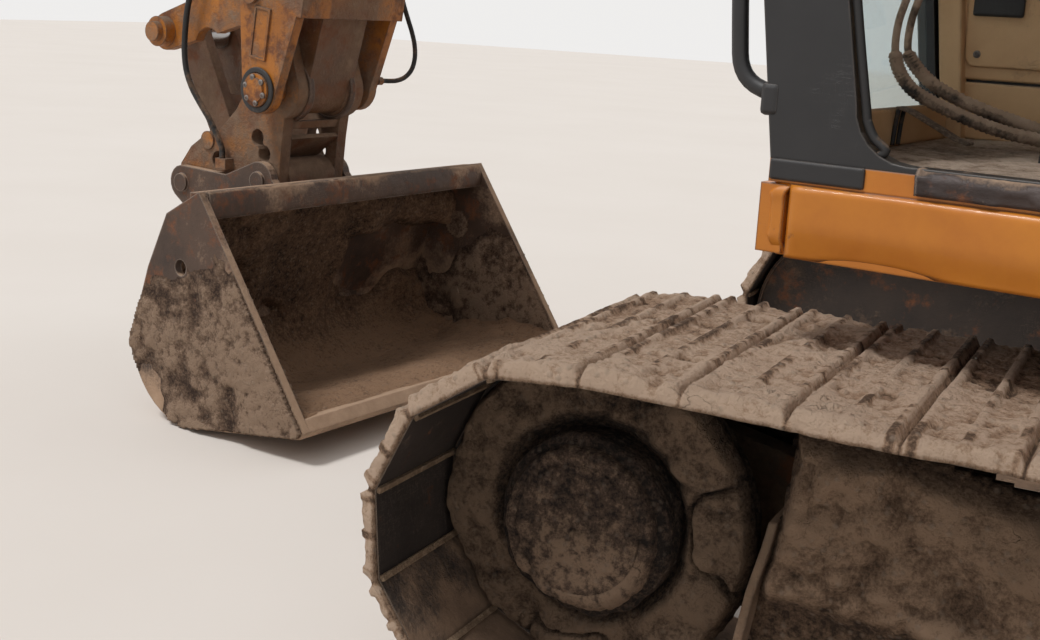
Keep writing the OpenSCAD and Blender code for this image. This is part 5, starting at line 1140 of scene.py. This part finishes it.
slabPiece("footRest", [(1150, 1262), (1182, 1270), (1290, 1322), (1318, 1328), (1318, 1334), (1288, 1328), (1180, 1276),
                       (1149, 1268)],
          850, 894, onUpper, "floorMud", "upper", 0.002)
for k, y in enumerate((855, 889)):
    tubePiece(f"footRestLeg{k}", [(1312, y, 1330), (1316, y, 1290), (1318, y, 1248)], 5, onUpper, "rubber", "upper")
for y in (815, 965):
    slabPiece(f"pedalPad{y}", [(800, 1286), (968, 1292), (968, 1304), (800, 1298)], y - 41, y + 41, onUpper, "rubber",
              "upper", 0.004)
    repeated(f"pedalRibs{y}", "bar", onUpper([[x, y, 1300 + (x - 800) * 0.025] for x in range(812, 964, 22)]), [0, 0, 1],
             turnUpper([0, 1, 0]), (0.076, 0.008, 0.010), "rubber", "upper")

# Skirt below the cab: proud upper half, lower half leaning in, dents and a rounded corner cap
skirt = dict(lowZ=1047, highZ=1194)
for tag, lowX, highX, sideY, out in (("Left", -2003, 1341, 1360, 1), ("Right", -2003, 1179, -1360, -1)):
    gx, gz = np.meshgrid(np.linspace(lowX, highX, 300 if out > 0 else 150),
                         np.linspace(skirt["lowZ"] + 1, skirt["highZ"] - 1, 25), indexing="ij")
    base = np.stack([gx, sideY + 0 * gx, gz], -1)
    p = base / 1000
    lean = 13 * ramp(gz, 1046, 1124) ** 0.75
    rounding = np.sqrt(np.clip(1 - ((ramp(gz, 1180, 1195)) ** 2), 0, 1))
    ends = ramp(highX - gx, -1, 9)
    dents = 4.5 * ramp(clods(p * [1, 1, 1.4], 0.42, 120), 0.72, 0.98) + 2.0 * layered(p, 0.5, 3, 121)
    height = 1 + (lean * rounding + 2 - dents * rounding) * ends
    normal = turnUpper(np.stack([0 * gx, out + 0 * gx, 0 * gx], -1))
    crust(f"skirtFace{tag}", onUpper(base), normal, height / 1000, "skirtPaint", "upper", back=0.002)
capS, capT = np.meshgrid(np.linspace(0, 1, 40), np.linspace(0, 1, 36), indexing="ij")
capA = capS * math.pi / 2
capX = np.interp(capS, [0, 0.3, 0.7, 1], [1352, 1378, 1408, 1408])
capY = np.interp(capS, [0, 0.3, 0.7, 1], [1372, 1372, 1340, 1236])
capZ = 1050 + 146 * capT
tuck = (ramp(capT, 0.75, 1.02) ** 2 + 0.8 * ramp(-capT, -0.3, 0.02) ** 2)
base = np.stack([capX - 16 * tuck, capY - 20 * tuck, capZ], -1)
p = base / 1000
normal = turnUpper(np.stack([np.sin(capA), np.cos(capA), 0 * capA], -1))
height = 1 - 9 * ramp(clods(p, 0.11, 130), 0.6, 0.95) + 1.5 * layered(p, 0.08, 3, 131)
crust("skirtCornerCap", onUpper(base), normal, height / 1000, "skirtPaint", "upper", back=0.018)
say("cab")


# Handrails: one bent tube each
rails = dict(radius=17)


def bentPath(points, bend, steps=7):
    # straight runs joined by arcs of the bend's radius
    p = [Vector(q) for q in points]
    out = [p[0]]
    for k in range(1, len(p) - 1):
        a, b = (p[k - 1] - p[k]), (p[k + 1] - p[k])
        reach = min(bend, a.length * 0.45, b.length * 0.45)
        start, end = p[k] + a.normalized() * reach, p[k] + b.normalized() * reach
        for t in np.linspace(0, 1, steps):
            out.append(start * (1 - t) ** 2 + p[k] * 2 * t * (1 - t) + end * t * t)
    return np.array([tuple(q) for q in out + [p[-1]]])


railRoutes = [
    ([(890, -1285, 1640), (890, -1285, 2300), (420, -1285, 2600), (260, -1285, 2600), (260, -1285, 1980)], 110),
    ([(1140, -700, 1640), (1140, -700, 2150), (600, -700, 2350), (600, -700, 1640)], 110),
    ([(1370, 1337, 1352), (1482, 1337, 1386), (1497, 1337, 1540), (1525, 1337, 1930), (1416, 1337, 1988)], 70)]
verts, faces = [], []
for points, bend in railRoutes:
    v, f = tubeMesh(onUpper(bentPath(points, bend)), rails["radius"] / 1000, 16)
    faces += [[k + sum(map(len, verts)) for k in face] for face in f]
    verts.append(v)
railPiece = meshPiece("handRails", np.concatenate(verts), faces, "blackPaint", "upper")
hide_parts("handrails")
blockPiece("mirrorArm", (248, 272), (-1392, -1285), (2460, 2500), onUpper, "blackPaint", "upper", 0.004)
blockPiece("mirrorShell", (240, 280), (-1514, -1376), (2341, 2639), onUpper, "darkTrim", "upper", 0.016)
blockPiece("mirrorFace", (238.5, 241), (-1504, -1386), (2351, 2629), onUpper, "rodChrome", "upper", 0.001)
feet = [(890, -1285, 1641), (1140, -700, 1641), (600, -700, 1641), (260, -1285, 1981)]
for k, (x, y, z) in enumerate(feet):
    blockPiece(f"railFoot{k}", (x - 34, x + 34), (y - 34, y + 34), (z - 1, z + 9), onUpper, "blackPaint", "upper", 0.003)
blockPiece("grabBracketLow", (1384, 1424), (1306, 1364), (1322, 1386), onUpper, "blackPaint", "upper", 0.01)
blockPiece("grabBracketHigh", (1404, 1446), (1306, 1364), (1950, 2012), onUpper, "blackPaint", "upper", 0.01)

# Controls: joysticks with boots, travel levers, display
controls = dict(stickX=620, boot=((62, 0), (58, 10), (48, 18), (50, 28), (38, 36), (40, 46), (26, 56), (16, 66), (13, 70),
                                  (13, 120)),
                grip=((13, 110), (22, 116), (25, 140), (22, 170), (26, 196), (27, 212), (20, 226), (6, 230)))


def uprightTurned(name, centre, profile, look, tilt=0.0, turns=24, body="upper"):
    # profile: (radius, height) pairs from the foot up, turned about z and leaned forward by tilt
    r, h = np.array(list(profile), float).T
    a = np.linspace(0, 2 * np.pi, turns, endpoint=False)[:, None]
    pts = np.stack([r * np.cos(a), r * np.sin(a), h + 0 * a], -1).reshape(-1, 3)
    x, z = pts[:, 0] * math.cos(tilt) + pts[:, 2] * math.sin(tilt), -pts[:, 0] * math.sin(tilt) + pts[:, 2] * math.cos(tilt)
    pts = np.stack([x, pts[:, 1], z], -1) + np.array(centre)
    n = len(r)
    faces = [[k * n + j, (k + 1) % turns * n + j, (k + 1) % turns * n + j + 1,
              k * n + j + 1] for k in range(turns) for j in range(n - 1)]
    faces += [[k * n for k in range(turns)][::-1], [k * n + n - 1 for k in range(turns)]]
    return meshPiece(name, onUpper(pts), faces, look, body)


for y, tag in ((580, "Right"), (1200, "Left")):
    boot = uprightTurned(f"joystickBoot{tag}", (controls["stickX"], y, 1810), controls["boot"], "rubber")
    uprightTurned(f"joystickGrip{tag}", (controls["stickX"], y, 1810), controls["grip"], "darkTrim")
    if tag == "Right":
        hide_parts("cab_controls")
for y, tag in ((815, "Right"), (965, "Left")):
    tubePiece(f"travelLever{tag}", [(860, y, 1250), (892, y, 1430), (926, y, 1620), (946, y - 6, 1740)], 11, onUpper,
              "darkTrim", "upper", per=5)
    uprightTurned(f"travelKnob{tag}", (946, y - 6, 1732), ((11, 0), (19, 6), (22, 30), (22, 56), (14, 68), (4, 71)),
                  "darkTrim", 0.2)
    blockPiece(f"pedalBox{tag}", (796, 972), (y - 43, y + 43), (1241, 1288), onUpper, "darkTrim", "upper", 0.006)
blockPiece("displayShell", (1152, 1228), (487, 653), (1882, 2048), onUpper, "darkTrim", "upper", 0.014)
blockPiece("displayPane", (1150.5, 1154), (503, 637), (1905, 2030), onUpper, "glassDark", "upper", 0.002)
tubePiece("displayArm", [(1226, 540, 1960), (1290, 520, 1950), (1356, 500, 1940), (1392, 490, 1930)], 13, onUpper,
          "darkTrim", "upper")

# Rubber seals round the fixed panes
seals = [
    ("rightWindowSeal", [(-320, 466, 1800), (1270, 466, 1800), (1270, 466, 2150), (1060, 466, 2800), (-320, 466, 2800)],
     "upper", onUpper),
    ("rearSideSeal", [(-340, 1362, 1800), (320, 1362, 1800), (320, 1362, 2800), (-340, 1362, 2800)], "upper", onUpper),
    ("rightWindowSealOut", [(-320, 419, 1800), (1270, 419, 1800), (1270, 419, 2150), (1060, 419, 2800), (-320, 419, 2800)],
     "upper", onUpper),
    ("rearWindowSeal", [(-432, 512, 1900), (-432, 1268, 1900), (-432, 1268, 2800), (-432, 512, 2800)], "upper", onUpper)]
for name, corners, body, to in seals:
    ring = bentPath([tuple((np.array(corners[-1]) + corners[0]) / 2)] + corners + [tuple((np.array(corners[-1]) + corners[0]) / 2)], 70, 6)
    v, f = tubeMesh(to(ring), 0.009, 8)
    meshPiece(name, v, f, "rubber", body)

# Rows of bolts
rows = dict(
    cabSideBolts=([(x, 1361, 1215) for x in range(-380, 300, 220)], (0, 1, 0), (0.010, 0.014, 0.009)),
    roofBolts=([(x, y, 2991) for x in range(-340, 1150, 240) for y in (460, 1320)], (0, 0, 1), (0.009, 0.013, 0.008)),
    tankBolts=([(x, -1346, z) for x in (-560, -180, 200) for z in (1240, 1930)], (0, -1, 0), (0.011, 0.016, 0.010)),
    platformBolts=([(x, y, 1196) for x in (700, 900, 1100) for y in (-560, -420)], (0, 0, 1), (0.012, 0.017, 0.012)))
for name, (points, facing, size) in rows.items():
    if points:
        repeated(name, "bolt", onUpper(points), turnUpper(facing), turnUpper([1.0, 0, 0]), size, "wornSteel", "upper")
a = np.radians(np.arange(0, 360, 12))
repeated("slewRingBolts", "bolt", onUpper([[625 * math.cos(t), 625 * math.sin(t), 1196] for t in a]), [0, 0, 1], [1, 0, 0],
         (0.014, 0.018, 0.014), "wornSteel", "upper")
say("rails and controls")


# Seat: pads blown up from slightly smaller blocks, then piping
seat = dict(pressure=4.0, cap=0.024, voxel=0.0075, frames=20)


def pad(name, node, size, to, look):
    # size: x, y, z reach in the pad's own mm; to puts those into the row frame
    inset = 9
    xs, ys, zs = ([lo + inset, hi - inset] for lo, hi in size)
    corners = [(x, y, z) for x in xs for y in ys for z in zs]
    faces = [[0, 1, 3, 2], [4, 6, 7, 5], [0, 4, 5, 1], [2, 3, 7, 6], [0, 2, 6, 4], [1, 5, 7, 3]]
    obj = meshPiece(name, to(np.array(corners, float)), faces, look, None)
    b = obj.modifiers.new("round", "BEVEL")
    b.width, b.segments = 0.022, 4
    r = obj.modifiers.new("grid", "REMESH")
    r.mode, r.voxel_size = "VOXEL", seat["voxel"]
    bpy.context.view_layer.update()
    mesh = bpy.data.meshes.new_from_object(obj.evaluated_get(bpy.context.evaluated_depsgraph_get()))
    obj.modifiers.clear()
    obj.data = mesh
    count = len(mesh.vertices)
    rest = np.empty(count * 3)
    mesh.vertices.foreach_get("co", rest)
    rest = rest.reshape(-1, 3)
    cloth = obj.modifiers.new("cloth", "CLOTH")
    cloth.settings.use_pressure = True
    cloth.settings.uniform_pressure_force = seat["pressure"]
    cloth.settings.effector_weights.gravity = 0
    cloth.settings.quality = 5
    cloth.point_cache.frame_start, cloth.point_cache.frame_end = 1, seat["frames"]
    for n in range(1, seat["frames"] + 1):
        scene.frame_set(n)
    blown = bpy.data.meshes.new_from_object(obj.evaluated_get(bpy.context.evaluated_depsgraph_get()))
    moved = np.empty(count * 3)
    blown.vertices.foreach_get("co", moved)
    moved = moved.reshape(-1, 3)
    obj.modifiers.clear()
    scene.frame_set(1)
    shift = moved - rest
    far = np.linalg.norm(shift, axis=1)[:, None]
    shift *= np.minimum(1, seat["cap"] / np.maximum(far, 1e-9))
    mesh.vertices.foreach_set("co", (rest + shift).ravel())
    mesh.polygons.foreach_set("use_smooth", [True] * len(mesh.polygons))
    if not mesh.materials:
        mesh.materials.append(looks[look])
    mesh.update()
    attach(obj, "upper")
    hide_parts(node)
    return obj


def onBack(p):
    p = np.asarray(p, float)
    t = math.radians(-10)  # leans back
    x, z = p[..., 0] * math.cos(t) + p[..., 2] * math.sin(t), -p[..., 0] * math.sin(t) + p[..., 2] * math.cos(t)
    return onUpper(np.stack([x + 90.7, p[..., 1] + 890, z + 1660], -1))


pad("seatCushion", "seat_cushion", ((90, 590), (665, 1115), (1600.3, 1720)), onUpper, "seatCloth")
pad("seatBack", "seat_back", ((-110, -1), (-225, 225), (0, 700)), onBack, "seatCloth")
for name, to, loop in (("cushionPiping", onUpper, [(120, 690, 1712), (560, 690, 1712), (560, 1090, 1712),
                                                   (120, 1090, 1712)]),
                       ("backPiping", onBack, [(-8, -200, 40), (-8, 200, 40), (-8, 200, 665), (-8, -200, 665)])):
    joint = tuple((np.array(loop[-1]) + loop[0]) / 2)
    v, f = tubeMesh(to(bentPath([joint] + loop + [joint], 70, 6)), 0.005, 8)
    meshPiece(name, v, f, "rubber", "upper")
say("seat")


# Floor, light and background
stage = dict(floorHalf=40.0, sky=0.56, sun=2.0, sunAngle=14.0)
floorLook = bpy.data.materials.new("studioFloor")
floorLook.use_nodes = True
floorTree = floorLook.node_tree
floorShader = floorTree.nodes["Principled BSDF"]
floorWhere = add(floorTree, "ShaderNodeTexCoord").outputs["Object"]
floorTone = mixed(floorTree, noise(floorTree, floorWhere, 0.6, 5.0, 0.6), paint(214, 206, 198), paint(222, 215, 208))
floorTree.links.new(floorTone, floorShader.inputs["Base Color"])
floorShader.inputs["Roughness"].default_value = 0.9
half = stage["floorHalf"]
floor = meshPiece("studioFloor", [(-half, -half, -0.002), (half, -half, -0.002), (half, half, -0.002),
                                  (-half, half, -0.002)],
                  [[0, 1, 2, 3]], floorLook, None, smooth=False)
world = bpy.data.worlds.new("studio")
scene.world = world
world.use_nodes = True
skyTree = world.node_tree
skyShader = skyTree.nodes["Background"]
path = add(skyTree, "ShaderNodeLightPath")
seen = sums(skyTree, "MAXIMUM", path.outputs["Is Camera Ray"],
            sums(skyTree, "MAXIMUM", path.outputs["Is Glossy Ray"], path.outputs["Is Transmission Ray"]))
skyTree.links.new(mixed(skyTree, seen, (stage["sky"],) * 3 + (1,), (0.86, 0.85, 0.84, 1)), skyShader.inputs["Color"])
sun = bpy.data.objects.new("keyLight", bpy.data.lights.new("keyLight", "SUN"))
sun.data.energy, sun.data.angle = stage["sun"], math.radians(stage["sunAngle"])
sunFrom = Vector((0.45, 0.5, 1.2))  # from above, left of the camera
sun.rotation_euler = sunFrom.to_track_quat("Z", "Y").to_euler()
scene.collection.objects.link(sun)
say("stage")
